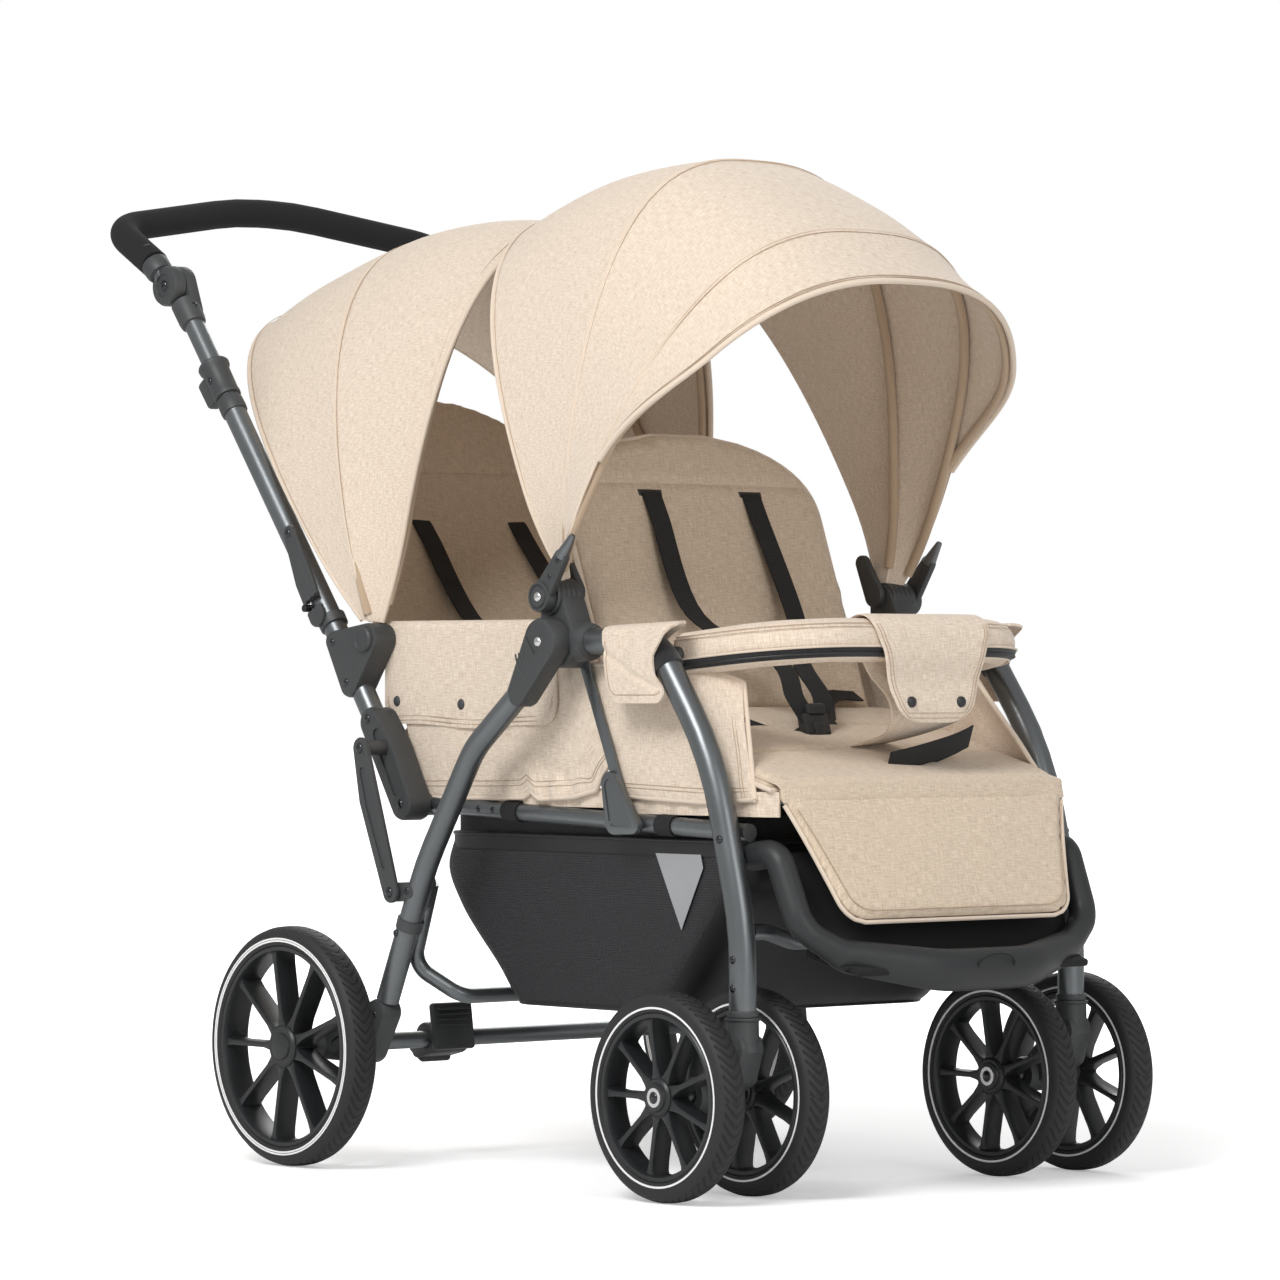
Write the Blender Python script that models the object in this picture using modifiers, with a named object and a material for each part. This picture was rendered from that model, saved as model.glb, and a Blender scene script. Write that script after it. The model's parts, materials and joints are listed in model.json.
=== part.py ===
"""Tandem stroller: two seats one behind the other on a folding tube frame.

The frame has X across, Y from front (-) to rear (+) and Z up. The floor is Z = 0. Side-view places
are (y, z) pairs measured from a point on the floor under the rear wheel axle, and the function
at() moves them into the part's own frame, whose origin is the middle of the footprint.
"""

import math

import bmesh
import bpy
from mathutils import Matrix, Vector

# Driving sizes in metres
REAR_AXLE_Y = 0.1343
CLEARANCE = 0.0003
SIDE_PLAY = 0.0005

REAR_WHEEL_RADIUS = 0.125
REAR_WHEEL_WIDTH = 0.036
REAR_WHEEL_X = 0.3005
REAR_TYRE_HEIGHT = 0.0205
REAR_RIM_RADIUS = REAR_WHEEL_RADIUS - REAR_TYRE_HEIGHT
FRONT_WHEEL_RADIUS = 0.1028
FRONT_WHEEL_WIDTH = 0.032
FRONT_TYRE_HEIGHT = 0.0208
FRONT_RIM_RADIUS = FRONT_WHEEL_RADIUS - FRONT_TYRE_HEIGHT
TWIN_SPACING = 0.110
CASTER_TRAIL = 0.049
WHEEL_SIDES = 28
SPOKE_COUNT = 9
SPOKE_WIDTH = 0.009
HUB_RADIUS = 0.022
RIM_WALL = 0.005
RIM_SHARE = 0.86

FRONT_LEG_X = 0.225
FRONT_LEG_RADIUS = 0.0135
RAIL_RADIUS = 0.009
PUSH_RADIUS = 0.0125
UPPER_PUSH_RADIUS = 0.011
REAR_LEG_RADIUS = 0.012
SLEEVE_WALL = 0.0028
CROSS_TUBE_RADIUS = 0.009
U_BAR_RADIUS = 0.008
LINK_THICKNESS = 0.006
STRUT_THICKNESS = 0.004
STRUT_WIDTH = 0.013
GRIP_RADIUS = 0.016
BUMPER_RADIUS = 0.021
BUMPER_END_X = 0.186
BUMPER_CORNER_X = 0.150
BUMPER_SKIRT = (0.100, 0.008, 0.075)
FOOTREST_BAR_RADIUS = 0.014
PUSH_FOOT_DEPTH = 0.020
FOLD_PIN_RADIUS = 0.004
HANDLE_DISC_RADIUS = 0.022
HANDLE_JOINT_SHIFT = 0.002
HANDLE_DISC_THICKNESS = 0.016
SOCKET_RADIUS = 0.0145
SLIDER_LENGTH = 0.046
FABRIC = 0.0025
PAD_THICKNESS = 0.022
STRAP_WIDTH = 0.025
STRAP_SPREAD = 0.069
STRAP_THICKNESS = 0.002
HOOD_TUCK_RADIUS = 0.12
HOOD_SEAM_GAP = 0.0008
HOOD_PIVOT_RADIUS = 0.0185
HOOD_KNOB_RADIUS = 0.0155
HUB_SHELL_RADIUS = 0.0265
BRACKET_NOSE_RADIUS = 0.017
HOOD_FOOT = 0.003
BRIM_FOOT = 0.085
RAIL_EYE_RADIUS = 0.012
HOOK_THICKNESS = 0.006
BRIM_ROOT = 0.08

FRONT_BACK_HALF_WIDTH = 0.177
REAR_BACK_HALF_WIDTH = 0.172
PANEL_THICKNESS = 0.010
PAD_CROWN = 0.006
FRONT_SEAT_LENGTH = 0.272
REAR_SEAT_LENGTH = 0.225
FRONT_BACK_LENGTH = 0.312
REAR_BACK_LENGTH = 0.436
FRONT_SEAT_SLOPE = math.radians(15)
REAR_SEAT_SLOPE = math.radians(3)
FRONT_BACK_LEAN = math.radians(70)
REAR_BACK_LEAN = math.radians(57)
HANDLE_REST = math.radians(44)
LEG_REST_SLOPE = math.radians(66)
LEG_REST_LENGTH = 0.140
LEG_REST_THICKNESS = 0.012

# Planes of the tubes, from the middle outward
RAIL_X = FRONT_LEG_X - FRONT_LEG_RADIUS - RAIL_RADIUS - SIDE_PLAY
PUSH_X = RAIL_X + RAIL_RADIUS + SIDE_PLAY + SLEEVE_WALL + PUSH_RADIUS
REAR_LEG_X = PUSH_X + PUSH_RADIUS + SLEEVE_WALL + SIDE_PLAY + REAR_LEG_RADIUS
LINK_INNER_X = REAR_LEG_X + REAR_LEG_RADIUS + 2 * SIDE_PLAY
INNER_X = RAIL_X + RAIL_RADIUS
PANEL_X = INNER_X - SIDE_PLAY

# Side-view places (y, z)
CASTER_STEM_Y = -0.618
CASTER_LOCK = (CASTER_STEM_Y + 0.0395, 0.1420)
FRONT_LEG_FOOT_Z = 0.180
FRONT_LEG_KNEE = (CASTER_STEM_Y, 0.265)
FRONT_LEG_MID = (CASTER_STEM_Y + 0.043, 0.430)
FRONT_LEG_BEND = (CASTER_STEM_Y + 0.128, 0.545)
HUB = (-0.358, 0.545)
HUB_DISC = (-0.348, 0.590)
REAR_LEG_SHOULDER = (-0.243, 0.437)
REAR_LEG_KNEE = (-0.165, 0.318)
REAR_LEG_END = (-0.101, 0.1755)
FOLD_PIVOT = (-0.105, 0.378)
PUSH_ELBOW = (0.000, 0.530)
HANDLE_PIVOT = (0.307, 0.936)
COLLAR_SHARE = 0.69
PUSH_COLLAR = tuple(a + (b - a) * COLLAR_SHARE for a, b in zip(PUSH_ELBOW, HANDLE_PIVOT))
RAIL_REAR = FOLD_PIVOT
RAIL_FRONT = (CASTER_STEM_Y + 0.015, 0.358)
LINK_TOP = (-0.077, 0.436)
LINK_BOTTOM = (-0.127, 0.288)
REAR_CROSS = (-0.030, 0.127)
SEAT_HINGE = (-0.367, 0.468)
REAR_SEAT_HINGE = (-0.047, 0.448)
LEG_REST_HINGE = (
    SEAT_HINGE[0] - (FRONT_SEAT_LENGTH + CLEARANCE) * math.cos(FRONT_SEAT_SLOPE) - CLEARANCE,
    SEAT_HINGE[1] - (FRONT_SEAT_LENGTH + CLEARANCE) * math.sin(FRONT_SEAT_SLOPE),
)
BUMPER_HINGE = (-0.500, 0.532)
HOOK_PIVOT = (0.082, 0.662)
REAR_CANOPY_PIVOT = (-0.046, 0.549)
STRUT_FOOT = (-0.436, 0.366)
FRONT_CROSS_END = (FRONT_LEG_KNEE[0] + 0.004, FRONT_LEG_KNEE[1] - 0.003)
FRONT_CROSS_BOW = (FRONT_LEG_KNEE[0] + 0.022, FRONT_LEG_KNEE[1] - 0.015)
HANDLE_CORNER = (HANDLE_PIVOT[0] + 0.115, HANDLE_PIVOT[1] + 0.070)
HANDLE_CREST = (HANDLE_PIVOT[0] + 0.143, HANDLE_PIVOT[1] + 0.100)
BUMPER_FRONT = (BUMPER_HINGE[0] - 0.112, BUMPER_HINGE[1] + 0.006)

# Side-view circles (y, z, radius) that a moulding is drawn round, besides those at its joints
STRUT_COVER = ((-0.412, 0.404, 0.012), (-0.448, 0.362, 0.009), (-0.420, 0.366, 0.014))
REAR_SOCKET_TOE = (-0.318, 0.488, 0.015)
LINK_LUG_TOE = (-0.148, 0.290, 0.009)
REAR_ARM_HEEL = (-0.070, 0.127, 0.018)
PUSH_FOOT_CHEEK = (-0.052, 0.462, 0.016)
BRACKET_TOP = (0.012, 0.547, 0.011)
BRACKET_TOE = (-0.016, 0.502, 0.014)
LINK_BULGE = (-0.090, 0.384, 0.014)
HOOK_BLADE = ((0.056, 0.612, 0.014), (0.034, 0.574, 0.012))
HOOK_NOTCH = (0.050, 0.584)
PEDAL_LOBES = ((-0.014, -0.003, 0.013), (0.004, 0.014, 0.015), (0.024, -0.012, 0.010))
PEDAL_X = (-0.106, -0.142)

# Bends of the footrest bar and the rear U bar: (y, z) and how far inside the bar's end they lie
FOOTREST_BENDS = (
    ((FRONT_LEG_KNEE[0] + 0.018, 0.334), 0.0),
    ((FRONT_LEG_KNEE[0] - 0.019, 0.340), 0.0),
    ((FRONT_LEG_KNEE[0] - 0.050, 0.266), 0.003),
    ((FRONT_LEG_KNEE[0] - 0.066, 0.238), 0.042),
    ((FRONT_LEG_KNEE[0] - 0.103, 0.225), 0.1372),
)
FOOTREST_FLOOR = (FRONT_LEG_KNEE[0] - 0.054, 0.238)
FOOTREST_FLOOR_SIZE = (0.080, 0.008)
U_BAR_BENDS = (((-0.148, 0.297), 0.0), ((-0.118, 0.212), 0.0), ((-0.160, 0.180), 0.030))

# The side cloth's outline and the basket's corners
SIDE_PANEL_OUTLINE = (
    (-0.052, 0.480),
    (-0.040, 0.545),
    (-0.050, 0.564),
    (-0.322, 0.560),
    (-0.330, 0.512),
    (-0.470, 0.512),
    (-0.535, 0.470),
    (-0.588, 0.385),
    (-0.582, 0.370),
    (-0.460, 0.376),
    (-0.098, 0.3905),
)
BASKET_RIM_Z, BASKET_FLOOR_Z = 0.363, 0.179
BASKET_TOP_Y = (-0.560, -0.108)
BASKET_FLOOR_Y = (-0.440, -0.192)
BASKET_FLOOR_HALF = 0.165

# Hood ribs, from the rear forward: angle above the rear in degrees, half width, radius, squareness,
# and where its foot starts: the radius from the pivot and the distance from the middle plane
FRONT_RIBS = (
    (62, 0.229, 0.456, 0.72, HOOD_PIVOT_RADIUS + CLEARANCE, 0.209),
    (94.5, 0.231, 0.450, 0.73, HOOD_PIVOT_RADIUS + CLEARANCE, 0.214),
    (118.5, 0.248, 0.419, 0.74, HOOD_PIVOT_RADIUS + CLEARANCE, 0.230),
    (131, 0.268, 0.415, 0.78, HOOD_PIVOT_RADIUS + CLEARANCE, 0.234),
)
REAR_RIBS = (
    (46, 0.236, 0.505, 0.70, BRACKET_NOSE_RADIUS * 1.60, PUSH_X),
    (70, 0.236, 0.462, 0.80, BRACKET_NOSE_RADIUS * 1.14, PUSH_X),
    (102, 0.210, 0.447, 0.72, BRACKET_NOSE_RADIUS + CLEARANCE, PUSH_X),
)


def at(place, x=0.0):
    """The world point of a side-view place."""
    return Vector((x, place[0] + REAR_AXLE_Y, place[1]))


def start_scene():
    for obj in list(bpy.data.objects):
        bpy.data.objects.remove(obj, do_unlink=True)
    parts = bpy.data.collections.new("tandem_stroller")
    cutters = bpy.data.collections.new("cutters")
    cutters.hide_render = True
    for collection in (parts, cutters):
        bpy.context.scene.collection.children.link(collection)
    return parts, cutters


PARTS, CUTTERS = start_scene()


def material(name, color, roughness, metallic=0.0):
    made = bpy.data.materials.new(name)
    made.use_nodes = True
    shader = made.node_tree.nodes["Principled BSDF"]
    shader.inputs["Base Color"].default_value = (*color, 1.0)
    shader.inputs["Roughness"].default_value = roughness
    shader.inputs["Metallic"].default_value = metallic
    return made


LOOKS = {
    "frame_metal": ((0.13, 0.15, 0.155), 0.35, 0.9),
    "dark_plastic": ((0.035, 0.037, 0.04), 0.45, 0.0),
    "foam_grip": ((0.02, 0.02, 0.02), 0.9, 0.0),
    "tyre_rubber": ((0.02, 0.02, 0.022), 0.6, 0.0),
    "wheel_black": ((0.015, 0.015, 0.016), 0.3, 0.0),
    "beige_fabric": ((0.72, 0.58, 0.45), 0.9, 0.0),
    "black_fabric": ((0.02, 0.02, 0.022), 0.9, 0.0),
    "black_webbing": ((0.015, 0.015, 0.015), 0.8, 0.0),
}
BODIES = {}


def body(name, place, parent=None):
    """An empty on the axis that a moving body turns about or slides along."""
    empty = bpy.data.objects.new("body_" + name, None)
    PARTS.objects.link(empty)
    empty.empty_display_size = 0.03
    spot = Vector(place)
    if parent:
        empty.parent = BODIES[parent][0]
        empty.location = spot - BODIES[parent][1]
    else:
        empty.location = spot
    BODIES[name] = (empty, spot)


def node(name, obj, look, carrier, turn=None):
    """Names a finished piece, gives it its material and hangs it on its body's empty."""
    if obj.type == "CURVE":
        obj = baked(obj)
    obj.name = name
    obj.data.name = name
    color, roughness, metallic = LOOKS[look]
    obj.data.materials.clear()
    obj.data.materials.append(material(name + "_" + look, color, roughness, metallic))
    empty, spot = BODIES[carrier]
    if turn is None:
        obj.data.transform(Matrix.Translation(obj.location - spot))
        obj.location = (0, 0, 0)
    else:
        obj.location = Vector(turn) - spot
    obj.parent = empty
    obj.data.shade_smooth()
    obj.data.set_sharp_from_angle(angle=math.radians(40))
    return obj


def link_object(name, data, collection=None):
    obj = bpy.data.objects.new(name, data)
    (collection or PARTS).objects.link(obj)
    return obj


def baked(obj):
    """The object as one welded mesh in world space, with its modifiers applied."""
    bpy.context.view_layer.update()
    graph = bpy.context.evaluated_depsgraph_get()
    mesh = bpy.data.meshes.new_from_object(obj.evaluated_get(graph))
    mesh.transform(obj.matrix_world)
    welder = bmesh.new()
    welder.from_mesh(mesh)
    bmesh.ops.remove_doubles(welder, verts=welder.verts, dist=0.00001)
    bmesh.ops.recalc_face_normals(welder, faces=welder.faces)
    welder.to_mesh(mesh)
    welder.free()
    new = link_object(obj.name, mesh)
    bpy.data.objects.remove(obj, do_unlink=True)
    return new


def combine(target, others, operation="UNION"):
    """Joins the other pieces to the target, or cuts them out of it."""
    target = baked(target)
    tools = []
    for other in others:
        tool = baked(other)
        PARTS.objects.unlink(tool)
        CUTTERS.objects.link(tool)
        tool.hide_render = True
        tool.display_type = "WIRE"
        step = target.modifiers.new("combine", "BOOLEAN")
        step.operation = operation
        step.object = tool
        tools.append(tool)
    result = baked(target)
    for tool in tools:
        bpy.data.objects.remove(tool, do_unlink=True)
    return result


def rounded_path(corners, radii, step=math.radians(13)):
    """A path through the corners, each rounded with its own bend radius."""
    corners = [Vector(c) for c in corners]
    path = [corners[0]]
    for before, corner, after, radius in zip(corners, corners[1:], corners[2:], radii):
        go_in, go_out = (corner - before).normalized(), (after - corner).normalized()
        angle = go_in.angle(go_out)
        reach = radius * math.tan(angle / 2)
        start, end = corner - go_in * reach, corner + go_out * reach
        centre = corner + (go_out - go_in).normalized() * radius / math.cos(angle / 2)
        count = max(1, round(angle / step))
        for i in range(count + 1):
            share = i / count
            swing = (start - centre) * math.sin((1 - share) * angle)
            swing += (end - centre) * math.sin(share * angle)
            path.append(centre + swing / math.sin(angle))
    path.append(corners[-1])
    return path


def tube(path, radius, sides=8):
    """A solid rod along a path of points."""
    curve = bpy.data.curves.new("tube", "CURVE")
    curve.dimensions = "3D"
    curve.bevel_depth = radius
    curve.bevel_resolution = (sides - 4) // 2
    curve.use_fill_caps = True
    spline = curve.splines.new("POLY")
    spline.points.add(len(path) - 1)
    for point, spot in zip(spline.points, path):
        point.co = (*spot, 1.0)
    return link_object("tube", curve)


def rod(start, end, radius, sides=12):
    """A cylinder between two points."""
    start, end = Vector(start), Vector(end)
    shape = bmesh.new()
    bmesh.ops.create_cone(
        shape,
        cap_ends=True,
        segments=sides,
        radius1=radius,
        radius2=radius,
        depth=(end - start).length,
    )
    mesh = bpy.data.meshes.new("rod")
    shape.to_mesh(mesh)
    shape.free()
    turn = (end - start).to_track_quat("Z", "Y").to_matrix().to_4x4()
    mesh.transform(Matrix.Translation((start + end) / 2) @ turn)
    return link_object("rod", mesh)


def block(size, centre, tilt=0.0):
    """A box, tilted about the X axis."""
    shape = bmesh.new()
    bmesh.ops.create_cube(shape, size=1.0)
    bmesh.ops.scale(shape, vec=size, verts=shape.verts)
    mesh = bpy.data.meshes.new("block")
    shape.to_mesh(mesh)
    shape.free()
    mesh.transform(Matrix.Translation(centre) @ Matrix.Rotation(tilt, 4, "X"))
    return link_object("block", mesh)


def wrapped(circles, count=24):
    """The outline of a band drawn tight round some side-view circles (y, z, radius)."""
    outline = []
    for i in range(count):
        angle = 2 * math.pi * i / count
        way = (math.cos(angle), math.sin(angle))
        y, z, radius = max(circles, key=lambda c: c[0] * way[0] + c[1] * way[1] + c[2])
        spot = (y + radius * way[0], z + radius * way[1])
        if not outline or math.dist(spot, outline[-1]) > 0.0002:
            outline.append(spot)
    return outline


def plate(outlines, x_inner, x_outer):
    """A flat piece cut to side-view outlines, standing between two X planes."""
    curve = bpy.data.curves.new("plate", "CURVE")
    curve.dimensions = "2D"
    curve.fill_mode = "BOTH"
    curve.extrude = abs(x_outer - x_inner) / 2
    for outline in outlines:
        spline = curve.splines.new("POLY")
        spline.points.add(len(outline) - 1)
        spline.use_cyclic_u = True
        for point, (y, z) in zip(spline.points, outline):
            point.co = (y + REAR_AXLE_Y, z, 0.0, 1.0)
    obj = link_object("plate", curve)
    obj.rotation_euler = (math.pi / 2, 0, math.pi / 2)
    obj.location.x = (x_inner + x_outer) / 2
    return baked(obj)


def turned(profile, sides, facet_down=True):
    """A ring turned about the X axis from a closed (radius, x) profile; a flat facet faces down."""
    mesh = bpy.data.meshes.new("turned")
    lean = math.pi / sides if facet_down else 0.0
    grow = 1 / math.cos(math.pi / sides)
    points = [
        (r * grow * math.cos(lean), r * grow * math.sin(lean), x) for r, x in profile
    ]
    edges = [(i, (i + 1) % len(points)) for i in range(len(points))]
    mesh.from_pydata(points, edges, [])
    obj = link_object("turned", mesh)
    screw = obj.modifiers.new("turn", "SCREW")
    screw.angle = 2 * math.pi
    screw.steps = sides
    screw.render_steps = sides
    screw.use_merge_vertices = True
    screw.merge_threshold = 0.00001
    obj.rotation_euler = (0, math.pi / 2, 0)
    return baked(obj)


def both_sides(build):
    """Runs a builder for the left side (-1) and the right side (+1)."""
    for side, letter in ((-1, "L"), (1, "R")):
        build(side, letter)


def tyre_mesh(radius, rim_radius, width):
    half = width / 2
    seat = rim_radius + CLEARANCE
    crown = half * 0.55
    profile = [
        (radius, crown),
        (radius, -crown),
        (radius - 0.005, -half * 0.85),
        (radius - 0.013, -half),
        (seat, -half * 0.88),
        (seat, half * 0.88),
        (radius - 0.013, half),
        (radius - 0.005, half * 0.85),
    ]
    return turned(profile, WHEEL_SIDES)


def spoked_outlines(rim_radius):
    """The rim's outline and the windows between its spokes, as (across, up) pairs."""
    window_outer = rim_radius - RIM_WALL
    outlines = [
        [
            (rim_radius * math.cos(a), rim_radius * math.sin(a))
            for a in (2 * math.pi * (i + 0.5) / WHEEL_SIDES for i in range(WHEEL_SIDES))
        ]
    ]
    pitch = 2 * math.pi / SPOKE_COUNT
    for k in range(SPOKE_COUNT):
        window = []
        for radius, count, way in ((window_outer, 4, 1), (HUB_RADIUS, 2, -1)):
            shy = math.asin(SPOKE_WIDTH / 2 / radius)
            span = pitch - 2 * shy
            angles = [k * pitch + shy + span * i / (count - 1) for i in range(count)]
            window += [(radius * math.cos(a), radius * math.sin(a)) for a in angles[::way]]
        outlines.append(window)
    return outlines


def rim_mesh(rim_radius, width):
    """A spoked rim about the X axis."""
    half = width / 2 * RIM_SHARE
    outlines = [[(u - REAR_AXLE_Y, v) for u, v in line] for line in spoked_outlines(rim_radius)]
    return plate(outlines, -half, half)


def wheel_set():
    """Every wheel: tyre and rim share their meshes with the other wheels of their kind."""
    rear_tyre = tyre_mesh(REAR_WHEEL_RADIUS, REAR_RIM_RADIUS, REAR_WHEEL_WIDTH)
    front_tyre = tyre_mesh(FRONT_WHEEL_RADIUS, FRONT_RIM_RADIUS, FRONT_WHEEL_WIDTH)
    rear_rim = rim_mesh(REAR_RIM_RADIUS, REAR_WHEEL_WIDTH)
    front_rim = rim_mesh(FRONT_RIM_RADIUS, FRONT_WHEEL_WIDTH)
    places = []
    for side, letter in ((-1, "L"), (1, "R")):
        axle = at((0.0, REAR_WHEEL_RADIUS), side * REAR_WHEEL_X)
        body("rear_wheel_" + letter, axle, "rear_frame")
        places.append(("rear", letter, axle))
        caster_y = CASTER_STEM_Y + CASTER_TRAIL
        for shift, which in ((-1, "outer"), (1, "inner")):
            x = side * (FRONT_LEG_X - shift * TWIN_SPACING / 2)
            axle = at((caster_y, FRONT_WHEEL_RADIUS), x)
            tag = letter + "_" + which
            body("front_wheel_" + tag, axle, "caster_" + letter)
            places.append(("front", tag, axle))
    for kind, tag, axle in places:
        rear = kind == "rear"
        tyre = link_object("tyre", (rear_tyre if rear else front_tyre).data.copy())
        node(f"{kind}_tyre_{tag}", tyre, "tyre_rubber", f"{kind}_wheel_{tag}", axle)
        rim = link_object("rim", (rear_rim if rear else front_rim).data.copy())
        node(f"{kind}_rim_{tag}", rim, "wheel_black", f"{kind}_wheel_{tag}", axle)
    for helper in (rear_tyre, front_tyre, rear_rim, front_rim):
        bpy.data.objects.remove(helper, do_unlink=True)


def chassis():
    def leg(side, letter):
        x = side * FRONT_LEG_X
        hub_edge = HUB[0] - 0.027
        corners = [
            at((CASTER_STEM_Y, FRONT_LEG_FOOT_Z), x),
            at(FRONT_LEG_KNEE, x),
            at(FRONT_LEG_MID, x),
            at(FRONT_LEG_BEND, x),
            at((hub_edge, HUB[1]), x),
        ]
        path = rounded_path(corners, (0.30, 0.30, 0.065), math.radians(9))
        node("front_leg_" + letter, tube(path, FRONT_LEG_RADIUS, 10), "frame_metal", "chassis")

    def rail(side, letter):
        x = side * RAIL_X
        run = tube([at(RAIL_REAR, x), at(RAIL_FRONT, x)], RAIL_RADIUS, 8)
        pin_end = side * (PUSH_X + PUSH_RADIUS + SLEEVE_WALL)
        eye_outline = wrapped([(*FOLD_PIVOT, RAIL_EYE_RADIUS)], 16)
        eye = plate([eye_outline], side * (RAIL_X - RAIL_RADIUS), side * INNER_X)
        pin = rod(at(FOLD_PIVOT, x), at(FOLD_PIVOT, pin_end), FOLD_PIN_RADIUS, 10)
        node("side_rail_" + letter, combine(run, [eye, pin]), "frame_metal", "chassis")

    def strut(side, letter):
        down = (Vector(STRUT_FOOT) - Vector(HUB)).normalized()
        top = Vector(HUB) + down * (HUB_SHELL_RADIUS + CLEARANCE + STRUT_WIDTH / 2)
        inner, outer = INNER_X + CLEARANCE, INNER_X + CLEARANCE + STRUT_THICKNESS
        bar = plate(
            [wrapped([(*top, STRUT_WIDTH / 2), (*STRUT_FOOT, STRUT_WIDTH / 2)], 16)],
            side * inner,
            side * outer,
        )
        cover = plate([wrapped(STRUT_COVER, 18)], side * (inner + 0.001), side * (outer + 0.010))
        node("strut_" + letter, combine(bar, [cover]), "dark_plastic", "chassis")

    def hub(side, letter):
        inner = side * (FRONT_LEG_X - FRONT_LEG_RADIUS)
        outer = side * (REAR_LEG_X - REAR_LEG_RADIUS)
        outline = wrapped([(*HUB, HUB_SHELL_RADIUS), (*HUB_DISC, HOOD_PIVOT_RADIUS)])
        shell = plate([outline], inner, outer)
        pin = rod(at(HUB, outer * 0.98), at(HUB, side * (REAR_LEG_X + 0.004)), 0.005, 12)
        knob_end = at(HUB_DISC, side * (REAR_LEG_X + 0.004))
        knob = rod(at(HUB_DISC, outer * 0.98), knob_end, HOOD_KNOB_RADIUS, 18)
        node("front_hub_" + letter, combine(shell, [knob, pin]), "dark_plastic", "chassis")

    both_sides(leg)
    both_sides(rail)
    both_sides(strut)
    both_sides(hub)
    front_cross()
    footrest()


def front_cross():
    """The bowed cross tube low between the front legs."""
    reach = FRONT_LEG_X - FRONT_LEG_RADIUS - CLEARANCE
    corners = []
    for side in (-1, 1):
        half = [
            at(FRONT_CROSS_END, side * reach),
            at(FRONT_CROSS_END, side * (reach - 0.02)),
            at(FRONT_CROSS_BOW, side * (reach - 0.07)),
        ]
        corners += half if side < 0 else half[::-1]
    path = rounded_path(corners, (0.04, 0.04, 0.04, 0.04))
    node("front_cross", tube(path, U_BAR_RADIUS), "dark_plastic", "chassis")


def footrest():
    """The moulded footrest: a bowed front bar, a floor behind it and two arms up to the front legs."""
    reach = FRONT_LEG_X - FRONT_LEG_RADIUS - CLEARANCE
    radius = FOOTREST_BAR_RADIUS
    arm_x = reach - radius
    half = [at(bend, arm_x - inside) for bend, inside in FOOTREST_BENDS]
    mirrored = [Vector((-spot.x, spot.y, spot.z)) for spot in reversed(half)]
    radii = (0.02, 0.04, 0.04, 0.12)
    bar = tube(rounded_path(half + mirrored, (*radii, *radii[::-1])), radius, 8)
    floor_size = (2 * arm_x - 0.080, *FOOTREST_FLOOR_SIZE)
    floor = block(floor_size, at(FOOTREST_FLOOR), math.radians(12))
    node("footrest", combine(bar, [floor]), "dark_plastic", "chassis")


def pad(length, thickness, half_width, crown, columns=4, rows=6):
    """A padded panel in its own frame: X across, Y up its length, Z out of its face.

    half_width gives the half width at a share of the length from 0 to 1.
    """
    bpy.ops.mesh.primitive_grid_add(x_subdivisions=columns, y_subdivisions=rows, size=2)
    obj = bpy.context.active_object
    for collection in list(obj.users_collection):
        collection.objects.unlink(obj)
    PARTS.objects.link(obj)
    for vertex in obj.data.vertices:
        u, v = vertex.co.x, (vertex.co.y + 1) / 2
        swell = crown * (1 - u * u) * (1 - (2 * v - 1) ** 2)
        vertex.co = (u * half_width(v), v * length, swell)
    solid = obj.modifiers.new("padding", "SOLIDIFY")
    solid.thickness = thickness
    solid.offset = -1
    soft = obj.modifiers.new("soft", "SUBSURF")
    soft.levels = 1
    soft.render_levels = 1
    soft.use_limit_surface = False
    return obj


def lay(obj, hinge, angle, lift=0.0, forward=False):
    """Places a pad so that its length climbs rearward at the angle, or with forward falls forward."""
    turn = Matrix.Rotation(angle, 4, "X")
    if forward:
        turn = turn @ Matrix.Rotation(math.pi, 4, "Z")
    obj.matrix_world = Matrix.Translation(hinge) @ turn @ Matrix.Translation((0, 0, lift))
    return baked(obj)


def tombstone(half, share):
    """A half-width rule with a rounded top."""

    def rule(v):
        top = max(0.0, (v - share) / (1 - share))
        return half * math.sqrt(max(0.12, 1 - 0.80 * top**2.2))

    return rule


def seats():
    """Seat cushions, backrests, harness and the leg rest."""
    for name, hinge, length, slope in (
        ("front_seat", SEAT_HINGE, FRONT_SEAT_LENGTH, FRONT_SEAT_SLOPE),
        ("rear_seat", REAR_SEAT_HINGE, REAR_SEAT_LENGTH, REAR_SEAT_SLOPE),
    ):
        half = PANEL_X - PANEL_THICKNESS - CLEARANCE
        cushion = pad(length, PAD_THICKNESS, lambda v: half, PAD_CROWN, 4, 4)
        front = at(hinge) - Vector((0, CLEARANCE, 0))
        seat = lay(cushion, front, slope, PAD_THICKNESS / 2, True)
        node(name, seat, "beige_fabric", "chassis")
    front_outline = tombstone(FRONT_BACK_HALF_WIDTH, 0.70)
    rear_outline = tombstone(REAR_BACK_HALF_WIDTH, 0.75)
    for name, hinge, length, lean, outline in (
        ("front_backrest", SEAT_HINGE, FRONT_BACK_LENGTH, FRONT_BACK_LEAN, front_outline),
        ("rear_backrest", REAR_SEAT_HINGE, REAR_BACK_LENGTH, REAR_BACK_LEAN, rear_outline),
    ):
        back = pad(length, PAD_THICKNESS, outline, PAD_CROWN)
        node(name, lay(back, at(hinge), lean, PAD_THICKNESS / 2), "beige_fabric", name)
    harness()
    leg_rest()


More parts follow.
